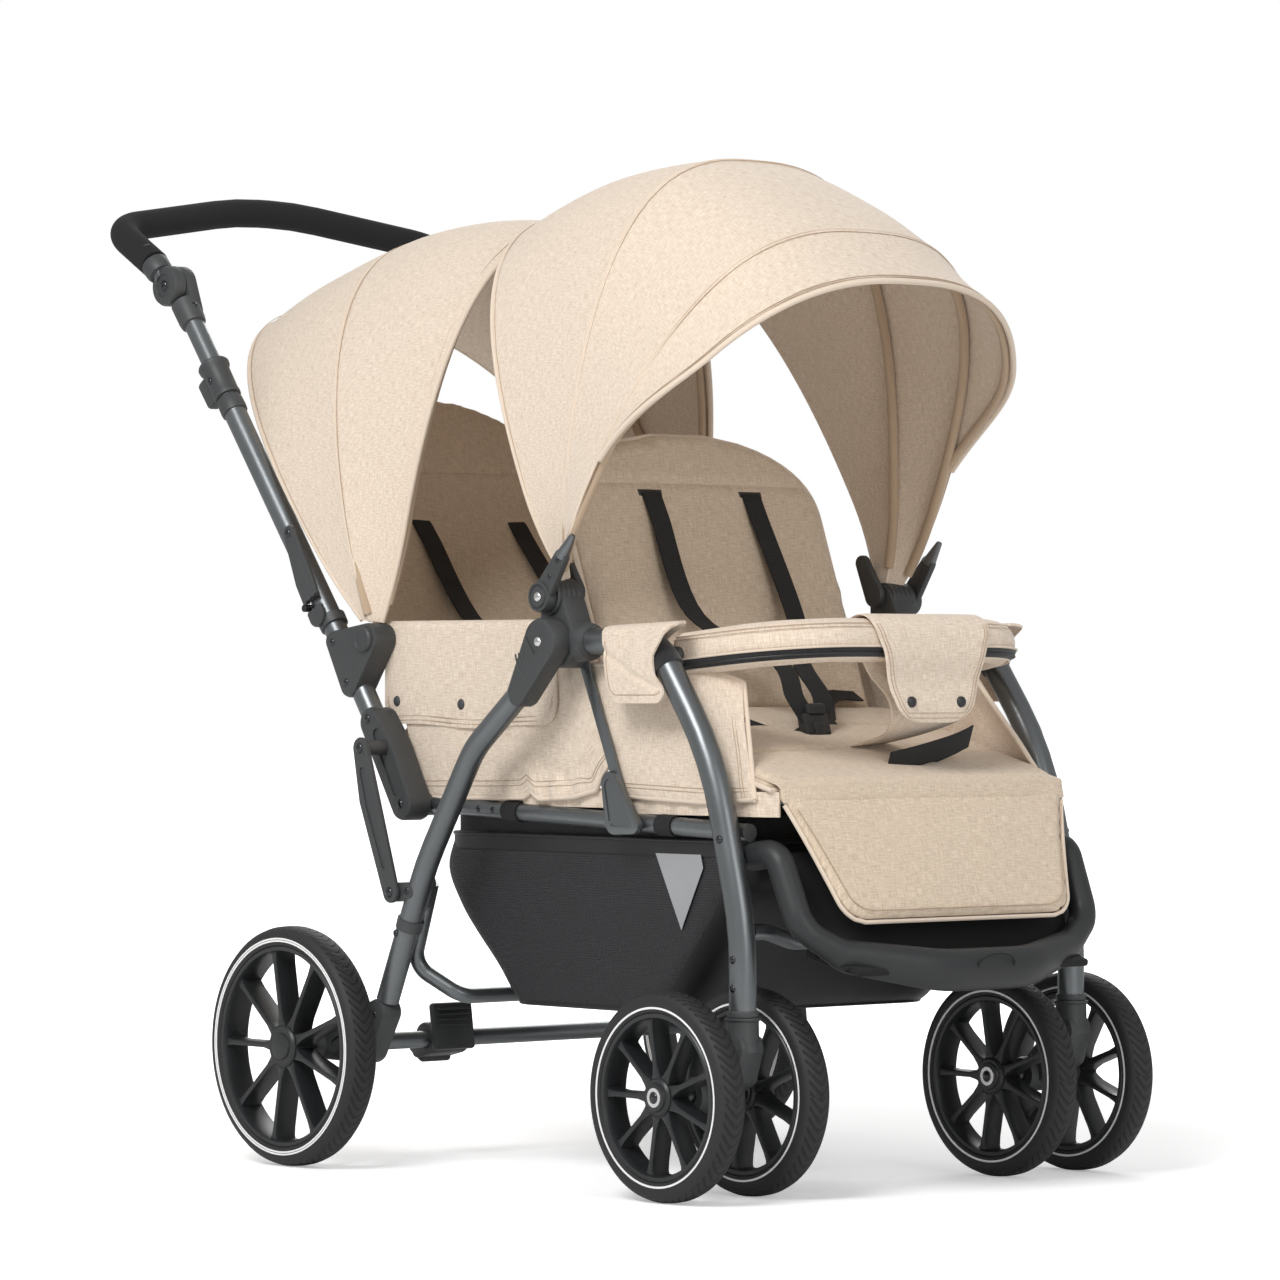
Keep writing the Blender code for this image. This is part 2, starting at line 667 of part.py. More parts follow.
def harness():
    """Two shoulder straps down the front backrest, met by a buckle at the lap."""
    face = PAD_THICKNESS / 2 + PAD_CROWN + STRAP_THICKNESS / 2
    pieces = []
    turn = Matrix.Translation(at(SEAT_HINGE)) @ Matrix.Rotation(FRONT_BACK_LEAN, 4, "X")
    for x in (-STRAP_SPREAD, STRAP_SPREAD):
        strap = block((STRAP_WIDTH, 0.180, STRAP_THICKNESS), (x, 0.148, face))
        strap.data.transform(turn)
        pieces.append(strap)
    yoke = block((2 * STRAP_SPREAD + STRAP_WIDTH, 0.020, STRAP_THICKNESS), (0, 0.062, face))
    buckle = block((0.045, 0.055, 0.012), (0, 0.050, face + 0.004))
    for piece in (yoke, buckle):
        piece.data.transform(turn)
    node("front_harness", combine(yoke, [*pieces, buckle]), "black_webbing", "front_backrest")


def leg_rest():
    panel = pad(LEG_REST_LENGTH, LEG_REST_THICKNESS, lambda v: 0.198 - 0.036 * v**1.5, 0.004, 4, 4)
    hung = lay(panel, at(LEG_REST_HINGE), LEG_REST_SLOPE, LEG_REST_THICKNESS / 2, True)
    node("leg_rest", hung, "beige_fabric", "leg_rest")


def bumper_bar():
    """The padded bar across the front seat, pivoted between the front legs, with its cloth skirt."""
    reach = FRONT_LEG_X - FRONT_LEG_RADIUS - CLEARANCE
    end_x, corner_x = BUMPER_END_X, BUMPER_CORNER_X
    corners = [
        at(BUMPER_HINGE, -end_x),
        at(BUMPER_FRONT, -corner_x),
        at(BUMPER_FRONT, corner_x),
        at(BUMPER_HINGE, end_x),
    ]
    bar = tube(rounded_path(corners, (0.09, 0.09)), BUMPER_RADIUS, 10)
    pins = [
        rod(at(BUMPER_HINGE, side * (end_x - 0.01)), at(BUMPER_HINGE, side * reach), 0.006, 10)
        for side in (-1, 1)
    ]
    skirt_place = (BUMPER_FRONT[0] - BUMPER_RADIUS, BUMPER_HINGE[1] - 0.035)
    skirt = block(BUMPER_SKIRT, at(skirt_place), math.radians(-6))
    node("bumper_bar", combine(bar, [*pins, skirt]), "beige_fabric", "bumper_bar")


def side_panels():
    def panel(side, letter):
        cloth = plate([SIDE_PANEL_OUTLINE], side * (PANEL_X - PANEL_THICKNESS), side * PANEL_X)
        node("side_panel_" + letter, cloth, "beige_fabric", "chassis")

    both_sides(panel)


def basket():
    """An open-topped cloth basket hung between the side rails."""
    half_top, half_floor = RAIL_X - RAIL_RADIUS - CLEARANCE, BASKET_FLOOR_HALF
    bpy.ops.mesh.primitive_cube_add(size=2)
    obj = bpy.context.active_object
    for collection in list(obj.users_collection):
        collection.objects.unlink(obj)
    PARTS.objects.link(obj)
    for vertex in obj.data.vertices:
        high, front = vertex.co.z > 0, vertex.co.y < 0
        half = half_top if high else half_floor
        y = (BASKET_TOP_Y if high else BASKET_FLOOR_Y)[0 if front else 1]
        z = BASKET_RIM_Z if high else BASKET_FLOOR_Z
        vertex.co = at((y, z), math.copysign(half, vertex.co.x))
    shape = bmesh.new()
    shape.from_mesh(obj.data)
    top = max(shape.faces, key=lambda face: face.calc_center_median().z)
    bmesh.ops.delete(shape, geom=[top], context="FACES_ONLY")
    shape.to_mesh(obj.data)
    shape.free()
    walls = obj.modifiers.new("cloth", "SOLIDIFY")
    walls.thickness = FABRIC
    walls.offset = -1
    walls.use_even_offset = True
    node("basket", baked(obj), "black_fabric", "chassis")


def arch_point(pivot, rib, t, shift):
    """A point of a hood rib, moved forward across it by the shift.

    t runs from foot to foot.
    """
    angle, half_width, radius, power, foot_radius, foot_x = rib
    angle = math.radians(angle)
    theta = math.pi * t
    r = max(radius * abs(math.sin(theta)) ** power, foot_radius)
    across = half_width * abs(math.cos(theta)) ** power
    tuck = max(0.0, 1 - r / HOOD_TUCK_RADIUS) ** 2
    across += (foot_x - across) * tuck
    along, aside = (math.cos(angle), math.sin(angle)), (-math.sin(angle), math.cos(angle))
    spot = [pivot[i] + r * along[i] + shift * aside[i] for i in (0, 1)]
    return at(spot, math.copysign(across, math.cos(theta)))


def hood_panel(pivot, first, last, foot, opens=None, columns=16, rows=3):
    """One cloth panel of a hood between two ribs, with half a seam gap along each.

    opens gives, by t, how far the panel reaches towards its last rib.
    """
    bpy.ops.mesh.primitive_grid_add(x_subdivisions=columns, y_subdivisions=rows, size=2)
    obj = bpy.context.active_object
    for collection in list(obj.users_collection):
        collection.objects.unlink(obj)
    PARTS.objects.link(obj)
    for vertex in obj.data.vertices:
        t = foot + (1 - 2 * foot) * (vertex.co.x + 1) / 2
        share = (vertex.co.y + 1) / 2
        shift = HOOD_SEAM_GAP * (0.5 - share)
        if opens:
            share = share * opens(t)
        rib = [a + (b - a) * share for a, b in zip(first, last)]
        vertex.co = arch_point(pivot, rib, t, shift)
    cloth = obj.modifiers.new("cloth", "SOLIDIFY")
    cloth.thickness = FABRIC
    cloth.offset = 0
    return baked(obj)


def hoods():
    """Two folding hoods, each cloth panels between ribs that fan out from a pivot."""
    rear, first, second, brim = FRONT_RIBS
    for name, start, end, foot, opens in (
        ("front_hood_rear", rear, first, HOOD_FOOT, None),
        ("front_hood_middle", first, second, HOOD_FOOT, None),
        ("front_hood_brim", second, brim, BRIM_FOOT, brim_opening),
    ):
        node(name, hood_panel(HUB_DISC, start, end, foot, opens), "beige_fabric", name)
    rear, seam, front = REAR_RIBS
    for name, start, end in (("rear_hood_rear", rear, seam), ("rear_hood_front", seam, front)):
        node(name, hood_panel(REAR_CANOPY_PIVOT, start, end, HOOD_FOOT), "beige_fabric", name)


def brim_opening(t):
    """How far the brim stands out from its rib: little at its two roots, then quickly all of it."""
    rise = min(1.0, (0.5 - abs(t - 0.5) - BRIM_FOOT) / 0.16)
    return BRIM_ROOT + (1 - BRIM_ROOT) * math.sin(math.pi / 2 * max(0.0, rise))


def rear_frame():
    def leg(side, letter):
        x = side * REAR_LEG_X
        path = rounded_path(
            [
                at((HUB[0] + 0.030, HUB[1] - 0.042), x),
                at(REAR_LEG_SHOULDER, x),
                at(REAR_LEG_KNEE, x),
                at(REAR_LEG_END, x),
            ],
            (0.10, 0.30),
            math.radians(9),
        )
        run = tube(path, REAR_LEG_RADIUS, 10)
        socket = plate(
            [
                wrapped([(*HUB, 0.024), REAR_SOCKET_TOE]),
                wrapped([(*HUB, 0.0056)], 12),
            ],
            side * (REAR_LEG_X - REAR_LEG_RADIUS + CLEARANCE),
            side * (REAR_LEG_X + REAR_LEG_RADIUS - 0.001),
        )
        lug = plate(
            [wrapped([(*LINK_BOTTOM, 0.010), LINK_LUG_TOE], 16)],
            side * REAR_LEG_X,
            side * (REAR_LEG_X + REAR_LEG_RADIUS),
        )
        node("rear_leg_" + letter, combine(run, [socket, lug]), "frame_metal", "rear_frame")

    def arm(side, letter):
        inner = side * (REAR_LEG_X - REAR_LEG_RADIUS - 0.001)
        outer = side * (REAR_LEG_X + REAR_LEG_RADIUS + 0.001)
        down = (Vector(REAR_LEG_END) - Vector(REAR_LEG_KNEE)).normalized()
        cup = Vector(REAR_LEG_END) + down * (0.0135 + CLEARANCE)
        shell = plate(
            [wrapped([(*cup, 0.0135), REAR_ARM_HEEL, (0.0, REAR_WHEEL_RADIUS, 0.015)])],
            inner,
            outer,
        )
        hub_face = REAR_WHEEL_X - REAR_WHEEL_WIDTH / 2 * RIM_SHARE - CLEARANCE
        stub = rod(
            at((0.0, REAR_WHEEL_RADIUS), outer * 0.98),
            at((0.0, REAR_WHEEL_RADIUS), side * hub_face),
            0.010,
            12,
        )
        node("rear_arm_" + letter, combine(shell, [stub]), "dark_plastic", "rear_frame")

    both_sides(leg)
    both_sides(arm)
    reach = REAR_LEG_X - REAR_LEG_RADIUS - 0.001 - CLEARANCE
    cross = rod(at(REAR_CROSS, -reach), at(REAR_CROSS, reach), CROSS_TUBE_RADIUS, 12)
    node("rear_axle", cross, "frame_metal", "rear_frame")
    u_x = REAR_LEG_X - REAR_LEG_RADIUS - CLEARANCE - U_BAR_RADIUS
    left = [at(bend, -(u_x - inside)) for bend, inside in U_BAR_BENDS]
    right = [at(bend, u_x - inside) for bend, inside in reversed(U_BAR_BENDS)]
    u_bar = tube(rounded_path(left + right, (0.025, 0.025, 0.025, 0.025)), U_BAR_RADIUS)
    node("rear_u_bar", u_bar, "frame_metal", "rear_frame")
    brake_pedal()


def brake_pedal():
    """A rocking pedal saddled on the rear cross tube."""
    y, z = REAR_CROSS
    x_inner, x_outer = PEDAL_X
    lobes = [(y + behind, z + above, radius) for behind, above, radius in PEDAL_LOBES]
    saddle = plate([wrapped(lobes, 20)], x_inner, x_outer)
    bore_radius = CROSS_TUBE_RADIUS / math.cos(math.pi / 12) + CLEARANCE
    bore = rod(at(REAR_CROSS, x_inner + 0.01), at(REAR_CROSS, x_outer - 0.01), bore_radius, 12)
    node("brake_pedal", combine(saddle, [bore], "DIFFERENCE"), "dark_plastic", "brake_pedal")


def casters():
    def caster(side, letter):
        x = side * FRONT_LEG_X
        axle_y = CASTER_STEM_Y + CASTER_TRAIL
        neck_top = FRONT_LEG_FOOT_Z - CLEARANCE
        neck = rod(
            at((CASTER_STEM_Y, neck_top - 0.034), x), at((CASTER_STEM_Y, neck_top), x), 0.017, 14
        )
        arm = plate(
            [
                wrapped(
                    [
                        (CASTER_STEM_Y, neck_top - 0.030, 0.016),
                        (axle_y, FRONT_WHEEL_RADIUS, 0.014),
                        (CASTER_STEM_Y + 0.005, FRONT_WHEEL_RADIUS + 0.020, 0.012),
                    ],
                    20,
                )
            ],
            x - 0.015,
            x + 0.015,
        )
        hub_face = TWIN_SPACING / 2 - FRONT_WHEEL_WIDTH / 2 * RIM_SHARE - CLEARANCE
        place = (axle_y, FRONT_WHEEL_RADIUS)
        axle = rod(at(place, x - hub_face), at(place, x + hub_face), 0.008, 12)
        fork = combine(neck, [arm, axle])
        node("caster_fork_" + letter, fork, "dark_plastic", "caster_" + letter)
        lever = plate(
            [
                wrapped(
                    [
                        (*CASTER_LOCK, 0.006),
                        (CASTER_LOCK[0] + 0.022, CASTER_LOCK[1] + 0.016, 0.004),
                    ],
                    14,
                )
            ],
            x - 0.012,
            x + 0.012,
        )
        node("caster_lock_" + letter, lever, "dark_plastic", "caster_lock_" + letter)

    both_sides(caster)


def push_path(side, shorten=0.0):
    """The middle line of a push tube from its foot to its collar."""
    x = side * PUSH_X
    up = (at(PUSH_ELBOW) - at(FOLD_PIVOT)).normalized()
    foot_end = at(FOLD_PIVOT, x) + up * (PUSH_FOOT_DEPTH - shorten)
    return rounded_path([foot_end, at(PUSH_ELBOW, x), at(PUSH_COLLAR, x)], (0.30,), math.radians(5))


def push_frame():
    """The two push tubes with their joints, sleeves and brackets, and the handle."""
    along = (at(HANDLE_PIVOT) - at(PUSH_COLLAR)).normalized()

    def push_tube(side, letter):
        x = side * PUSH_X
        lower = tube(push_path(side), PUSH_RADIUS, 10)
        neck = at(HANDLE_PIVOT, x) - along * (HANDLE_DISC_RADIUS + 0.0015)
        upper = tube([at(PUSH_COLLAR, x) - along * 0.02, neck], UPPER_PUSH_RADIUS, 10)
        socket = rod(neck - along * 0.028, neck, SOCKET_RADIUS, 12)
        below = at(HANDLE_PIVOT) - along * 0.036
        knuckle = wrapped(
            [(*HANDLE_PIVOT, HANDLE_DISC_RADIUS), (below.y - REAR_AXLE_Y, below.z, 0.012)], 20
        )
        knuckle = plate([knuckle], side * (PUSH_X - 0.013), side * (PUSH_X + HANDLE_JOINT_SHIFT))
        whole = combine(lower, [upper, socket, knuckle])
        node("push_tube_" + letter, whole, "frame_metal", "push_frame")

    def foot(side, letter):
        """The moulded foot that holds the push tube and turns on the rail's pin."""
        inner = side * (INNER_X + SIDE_PLAY)
        outer = side * (PUSH_X + PUSH_RADIUS + SLEEVE_WALL)
        band = [(*FOLD_PIVOT, 0.017), PUSH_FOOT_CHEEK, (*LINK_TOP, 0.013)]
        shell = plate([wrapped(band)], inner, outer)
        hole_ends = at(FOLD_PIVOT, inner * 0.98), at(FOLD_PIVOT, outer * 1.02)
        pin_hole = rod(*hole_ends, FOLD_PIN_RADIUS + SIDE_PLAY, 10)
        bore = tube(push_path(side, CLEARANCE), PUSH_RADIUS + CLEARANCE, 10)
        boss_ends = at(LINK_TOP, outer * 0.99), at(LINK_TOP, side * (LINK_INNER_X - CLEARANCE))
        boss = rod(*boss_ends, 0.008, 12)
        holed = combine(shell, [pin_hole, bore], "DIFFERENCE")
        node("push_foot_" + letter, combine(holed, [boss]), "dark_plastic", "push_frame")

    def bracket(side, letter):
        """The clamp on the push tube that carries the rear hood."""
        inner = side * (INNER_X + SIDE_PLAY)
        outer = side * (PUSH_X + PUSH_RADIUS + SLEEVE_WALL)
        band = [BRACKET_TOP, (*REAR_CANOPY_PIVOT, BRACKET_NOSE_RADIUS), BRACKET_TOE]
        bore = tube(push_path(side), PUSH_RADIUS + CLEARANCE, 10)
        shell = combine(plate([wrapped(band)], inner, outer), [bore], "DIFFERENCE")
        node("hood_bracket_" + letter, shell, "dark_plastic", "push_frame")

    def slider(side, letter):
        """The sliding release sleeve on the upper tube, with its finger tab behind."""
        low = at(PUSH_COLLAR, side * PUSH_X) + along * (2 * CLEARANCE)
        high = low + along * SLIDER_LENGTH
        sleeve = rod(low, high, PUSH_RADIUS + SLEEVE_WALL, 14)
        behind = Vector((0, along.z, -along.y))
        tab = block((0.016, 0.018, 0.034), (low + high) / 2 + behind * 0.020, math.radians(-38))
        bore = tube([low - along * 0.02, high + along * 0.02], UPPER_PUSH_RADIUS + CLEARANCE, 10)
        shell = combine(combine(sleeve, [tab]), [bore], "DIFFERENCE")
        node("release_sleeve_" + letter, shell, "dark_plastic", "release_sleeve_" + letter)

    def link(side, letter):
        band = [(*LINK_TOP, 0.011), LINK_BULGE, (*LINK_BOTTOM, 0.011)]
        bar = plate([wrapped(band)], side * LINK_INNER_X, side * (LINK_INNER_X + LINK_THICKNESS))
        node("fold_link_" + letter, bar, "dark_plastic", "fold_link_" + letter)

    for builder in (push_tube, foot, bracket, slider, link):
        both_sides(builder)
    handle()
    storage_hook()


def handle():
    """The padded push bar between its two tilting joints."""
    rise = Vector((0, math.cos(HANDLE_REST), math.sin(HANDLE_REST)))
    inner = PUSH_X + HANDLE_JOINT_SHIFT + CLEARANCE
    neck_x = inner + HANDLE_DISC_THICKNESS / 2
    path = rounded_path(
        [
            at(HANDLE_PIVOT, -neck_x) + rise * 0.034,
            at(HANDLE_CORNER, -PUSH_X),
            at(HANDLE_CREST, -0.040),
            at(HANDLE_CREST, 0.040),
            at(HANDLE_CORNER, PUSH_X),
            at(HANDLE_PIVOT, neck_x) + rise * 0.034,
        ],
        (0.050, 0.30, 0.30, 0.050),
        math.radians(16),
    )
    pieces = []
    for side in (-1, 1):
        faces = [at(HANDLE_PIVOT, side * (inner + step)) for step in (0, HANDLE_DISC_THICKNESS)]
        pieces.append(rod(*faces, HANDLE_DISC_RADIUS, 18))
        start = at(HANDLE_PIVOT, side * neck_x)
        pieces.append(rod(start, start + rise * 0.040, 0.0078, 10))
    node("handle_bar", combine(tube(path, GRIP_RADIUS, 10), pieces), "foam_grip", "handle")


def storage_hook():
    """The catch on the left push tube that holds the folded frame shut."""
    inner = -(PUSH_X + PUSH_RADIUS + CLEARANCE)
    outline = wrapped([(*HOOK_PIVOT, 0.008), *HOOK_BLADE])
    blade = plate([outline], inner, inner - HOOK_THICKNESS)
    notch = rod(at(HOOK_NOTCH, inner + 0.01), at(HOOK_NOTCH, inner - 0.02), 0.006, 12)
    node("storage_hook", combine(blade, [notch], "DIFFERENCE"), "dark_plastic", "storage_hook")


def bodies():
    body("chassis", (0, 0, 0))
    body("rear_frame", at(HUB), "chassis")
    body("push_frame", at(FOLD_PIVOT), "chassis")
    body("handle", at(HANDLE_PIVOT), "push_frame")
    body("storage_hook", at(HOOK_PIVOT, -(PUSH_X + PUSH_RADIUS)), "push_frame")
    body("front_backrest", at(SEAT_HINGE), "chassis")
    body("rear_backrest", at(REAR_SEAT_HINGE), "chassis")
    body("leg_rest", at(LEG_REST_HINGE), "chassis")
    body("bumper_bar", at(BUMPER_HINGE), "chassis")
    body("brake_pedal", at(REAR_CROSS, PEDAL_X[0] - 0.02), "rear_frame")
    for side, letter in ((-1, "L"), (1, "R")):
        stem = at((CASTER_STEM_Y, FRONT_LEG_FOOT_Z), side * FRONT_LEG_X)
        body("caster_" + letter, stem, "chassis")
        body("caster_lock_" + letter, at(CASTER_LOCK, side * FRONT_LEG_X), "caster_" + letter)
        body("release_sleeve_" + letter, at(PUSH_COLLAR, side * PUSH_X), "push_frame")
        body("fold_link_" + letter, at(LINK_TOP, side * LINK_INNER_X), "push_frame")
    body("front_hood_rear", at(HUB_DISC), "chassis")
    body("front_hood_middle", at(HUB_DISC), "front_hood_rear")
    body("front_hood_brim", at(HUB_DISC), "front_hood_middle")
    body("rear_hood_rear", at(REAR_CANOPY_PIVOT), "push_frame")
    body("rear_hood_front", at(REAR_CANOPY_PIVOT), "rear_hood_rear")


bodies()
chassis()
seats()
bumper_bar()
side_panels()
basket()
rear_frame()
casters()
push_frame()
wheel_set()
hoods()
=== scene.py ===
# %% [markdown]
# # A tandem stroller, dressed
# The frame file holds the working stroller: tubes, joints and plain solids for the soft parts.
# This lesson keeps every place and every joint of it and makes the surfaces that an eye sees:
# smooth tubes, moulded joints, wheels, hoods, padded seats and a mesh basket.

# %% Load the working frame
import json
import math

import bpy
from mathutils import Matrix, Vector, noise


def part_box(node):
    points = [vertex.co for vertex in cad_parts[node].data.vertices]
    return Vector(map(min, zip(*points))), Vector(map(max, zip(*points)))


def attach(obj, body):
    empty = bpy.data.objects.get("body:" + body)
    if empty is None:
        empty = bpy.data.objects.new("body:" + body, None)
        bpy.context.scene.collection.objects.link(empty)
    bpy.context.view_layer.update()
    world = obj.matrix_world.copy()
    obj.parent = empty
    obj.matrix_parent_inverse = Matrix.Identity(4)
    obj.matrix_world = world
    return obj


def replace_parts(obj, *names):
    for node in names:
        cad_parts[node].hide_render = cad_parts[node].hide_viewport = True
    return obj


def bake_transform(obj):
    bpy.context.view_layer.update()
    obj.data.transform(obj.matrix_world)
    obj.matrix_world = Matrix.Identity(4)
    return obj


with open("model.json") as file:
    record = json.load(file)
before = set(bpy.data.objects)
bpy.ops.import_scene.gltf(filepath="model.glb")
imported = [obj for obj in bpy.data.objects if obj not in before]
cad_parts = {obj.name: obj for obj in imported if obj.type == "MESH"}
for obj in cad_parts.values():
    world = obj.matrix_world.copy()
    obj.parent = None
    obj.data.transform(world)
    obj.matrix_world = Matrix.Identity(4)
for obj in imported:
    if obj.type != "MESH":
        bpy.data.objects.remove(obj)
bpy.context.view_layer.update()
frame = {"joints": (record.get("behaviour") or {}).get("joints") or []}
bpy.ops.object.select_all(action="DESELECT")

# %% [markdown]
# Every place is a pair: how far behind the rear axle, and how high above the floor. The joints
# of the frame say where the pivots are, so nothing here has to be fitted by eye.

# %% Places
REAR_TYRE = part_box("rear_tyre_L")
AXLE_Y = (REAR_TYRE[0].y + REAR_TYRE[1].y) / 2
REAR_WHEEL_RADIUS = (REAR_TYRE[1].z - REAR_TYRE[0].z) / 2
CLEARANCE = 0.0003


def at(place, x=0.0):
    """The point of a (behind the axle, above the floor) pair, x to the side."""
    return Vector((x, place[0] + AXLE_Y, place[1]))


def pivot(joint):
    """The side-view place of a joint of the frame."""
    spot = next(j for j in frame["joints"] if j["name"] == joint)["pos_m"]
    return (spot[1] - AXLE_Y, spot[2])


def middle(node):
    """The middle of a node's box."""
    low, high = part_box(node)
    return (low + high) / 2


HUB = pivot("rear_frame_fold")
FOLD_PIVOT = pivot("fold")
HUB_DISC = pivot("front_hood_fold")
REAR_CANOPY_PIVOT = pivot("rear_hood_fold")
HANDLE_PIVOT = pivot("handle_tilt")
SEAT_HINGE = pivot("front_recline")
REAR_SEAT_HINGE = pivot("rear_recline")
LEG_REST_HINGE = pivot("leg_rest_lift")
BUMPER_HINGE = pivot("bumper_swing")
HOOK_PIVOT = pivot("storage_catch")
LINK_TOP = pivot("fold_link_L_turn")
PEDAL_PIVOT = pivot("brake_rock")
CASTER_LOCK = pivot("caster_L_lock")
CASTER_STEM_Y = pivot("caster_L_swivel")[0]
CASTER_AXLE = pivot("front_wheel_L_outer_spin")
LEG_X = middle("front_leg_R").x
LEG_RADIUS = 0.0135
RAIL_RADIUS = 0.009
RAIL_X = LEG_X - LEG_RADIUS - RAIL_RADIUS - 0.0005
PUSH_X = RAIL_X + RAIL_RADIUS + 0.0158
REAR_LEG_X = PUSH_X + 0.0278
PANEL_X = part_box("side_panel_R")[1].x
SIDES = ((-1, "L"), (1, "R"))
print("axle", round(AXLE_Y, 4), "leg plane", round(LEG_X, 4), "rear leg plane", round(REAR_LEG_X, 4))

# %% [markdown]
# The camera stands where the photographer stood: low, in front and to the left, with a long
# lens. The shift stays at zero, so that the other views can turn round the stroller freely.

# %% Camera, floor and light
CAMERA_SPOT = (-3.8973, -4.7141, 0.5150)
CAMERA_YAW = 0.7128
CAMERA_PITCH = 0.0056
LENS = 159.56
SENSOR = 36.0


def make_camera():
    spot = Vector(CAMERA_SPOT) + Vector((0, AXLE_Y, 0))
    turn = (math.pi / 2 + CAMERA_PITCH, 0, -CAMERA_YAW)
    bpy.ops.object.camera_add(location=spot, rotation=turn)
    camera = bpy.context.active_object
    camera.data.lens = LENS
    camera.data.sensor_width = SENSOR
    bpy.context.scene.camera = camera


def make_floor():
    """A white floor that keeps the shadows near the stroller and melts into the white room."""
    bpy.ops.mesh.primitive_plane_add(size=60)
    floor = bpy.context.active_object
    floor.name = "studio_floor"
    paint = bpy.data.materials.new("studio_white")
    paint.use_nodes = True
    tree = paint.node_tree
    nodes, links = tree.nodes, tree.links
    nodes.clear()
    matt = nodes.new("ShaderNodeBsdfDiffuse")
    matt.inputs["Color"].default_value = (0.90, 0.90, 0.90, 1)
    glow = nodes.new("ShaderNodeEmission")
    path = nodes.new("ShaderNodeLightPath")
    place = nodes.new("ShaderNodeNewGeometry")
    away = nodes.new("ShaderNodeVectorMath")
    away.operation = "LENGTH"
    fade = nodes.new("ShaderNodeMapRange")
    fade.inputs["From Min"].default_value = 0.75
    fade.inputs["From Max"].default_value = 2.2
    fade.inputs["To Min"].default_value = 0.36
    fade.inputs["To Max"].default_value = 1.0
    strength = nodes.new("ShaderNodeMath")
    strength.operation = "MULTIPLY"
    both_shaders = nodes.new("ShaderNodeAddShader")
    out = nodes.new("ShaderNodeOutputMaterial")
    links.new(place.outputs["Position"], away.inputs[0])
    links.new(away.outputs["Value"], fade.inputs["Value"])
    links.new(path.outputs["Is Camera Ray"], strength.inputs[0])
    links.new(fade.outputs["Result"], strength.inputs[1])
    links.new(strength.outputs[0], glow.inputs["Strength"])
    links.new(matt.outputs[0], both_shaders.inputs[0])
    links.new(glow.outputs[0], both_shaders.inputs[1])
    links.new(both_shaders.outputs[0], out.inputs["Surface"])
    floor.data.materials.append(paint)


def make_world():
    """A pale studio: full white to the camera, and softer where it only lights the cloth."""
    world = bpy.data.worlds.new("studio")
    bpy.context.scene.world = world
    world.use_nodes = True
    nodes, links = world.node_tree.nodes, world.node_tree.links
    nodes.clear()
    path = nodes.new("ShaderNodeLightPath")
    seen = nodes.new("ShaderNodeMath")
    seen.operation = "MAXIMUM"
    strength = nodes.new("ShaderNodeMapRange")
    strength.inputs["To Min"].default_value = 0.50
    strength.inputs["To Max"].default_value = 1.0
    back = nodes.new("ShaderNodeBackground")
    back.inputs["Color"].default_value = (1, 1, 1, 1)
    out = nodes.new("ShaderNodeOutputWorld")
    links.new(path.outputs["Is Camera Ray"], seen.inputs[0])
    links.new(path.outputs["Is Transmission Ray"], seen.inputs[1])
    links.new(seen.outputs[0], strength.inputs["Value"])
    links.new(strength.outputs[0], back.inputs["Strength"])
    links.new(back.outputs[0], out.inputs["Surface"])


def soft_light(name, spot, size, power, aim=(0, 0, 0.5)):
    bpy.ops.object.light_add(type="AREA", location=spot)
    lamp = bpy.context.active_object
    lamp.name = name
    lamp.data.shape = "DISK"
    lamp.data.size = size
    lamp.data.energy = power
    lamp.rotation_euler = (Vector(aim) - Vector(spot)).to_track_quat("-Z", "Y").to_euler()


make_camera()
make_floor()
make_world()
soft_light("key_light", (-3.2, -1.4, 3.4), 1.8, 120)
soft_light("front_light", (-0.6, -4.6, 1.8), 2.2, 34)
soft_light("back_light", (2.6, 2.4, 2.6), 2.0, 40)
bpy.context.scene.view_settings.view_transform = "Standard"

# %% [markdown]
# ## Surfaces
# Patterns that several materials share are node groups: the threads of the cloth, its soft
# creases, the fine grain of moulded plastic and the rubbed edges. A group only puts out masks and
# heights. The shader stays in the material, where its plain values survive an export.


# %% Node groups
def new_group(name, inputs, outputs):
    """An empty node group with named float or vector sockets."""
    group = bpy.data.node_groups.new(name, "ShaderNodeTree")
    for label, kind, value in inputs:
        socket = group.interface.new_socket(label, in_out="INPUT", socket_type="NodeSocket" + kind)
        if value is not None:
            socket.default_value = value
    for label in outputs:
        group.interface.new_socket(label, in_out="OUTPUT", socket_type="NodeSocketFloat")
    return group, group.nodes.new("NodeGroupInput"), group.nodes.new("NodeGroupOutput")


def math_node(tree, operation, first, second=None, clamp=False):
    node = tree.nodes.new("ShaderNodeMath")
    node.operation = operation
    node.use_clamp = clamp
    for socket, value in zip(node.inputs, (first, second)):
        if isinstance(value, (int, float)):
            socket.default_value = value
        elif value is not None:
            tree.links.new(value, socket)
    return node.outputs[0]


def stretched(tree, vector, stretch):
    node = tree.nodes.new("ShaderNodeVectorMath")
    node.operation = "MULTIPLY"
    node.inputs[1].default_value = stretch
    tree.links.new(vector, node.inputs[0])
    return node.outputs[0]


def noise_at(tree, vector, scale, detail=2.0, rough=0.5):
    node = tree.nodes.new("ShaderNodeTexNoise")
    node.inputs["Detail"].default_value = detail
    node.inputs["Roughness"].default_value = rough
    if isinstance(scale, (int, float)):
        node.inputs["Scale"].default_value = scale
    else:
        tree.links.new(scale, node.inputs["Scale"])
    tree.links.new(vector, node.inputs["Vector"])
    return node.outputs["Fac"]


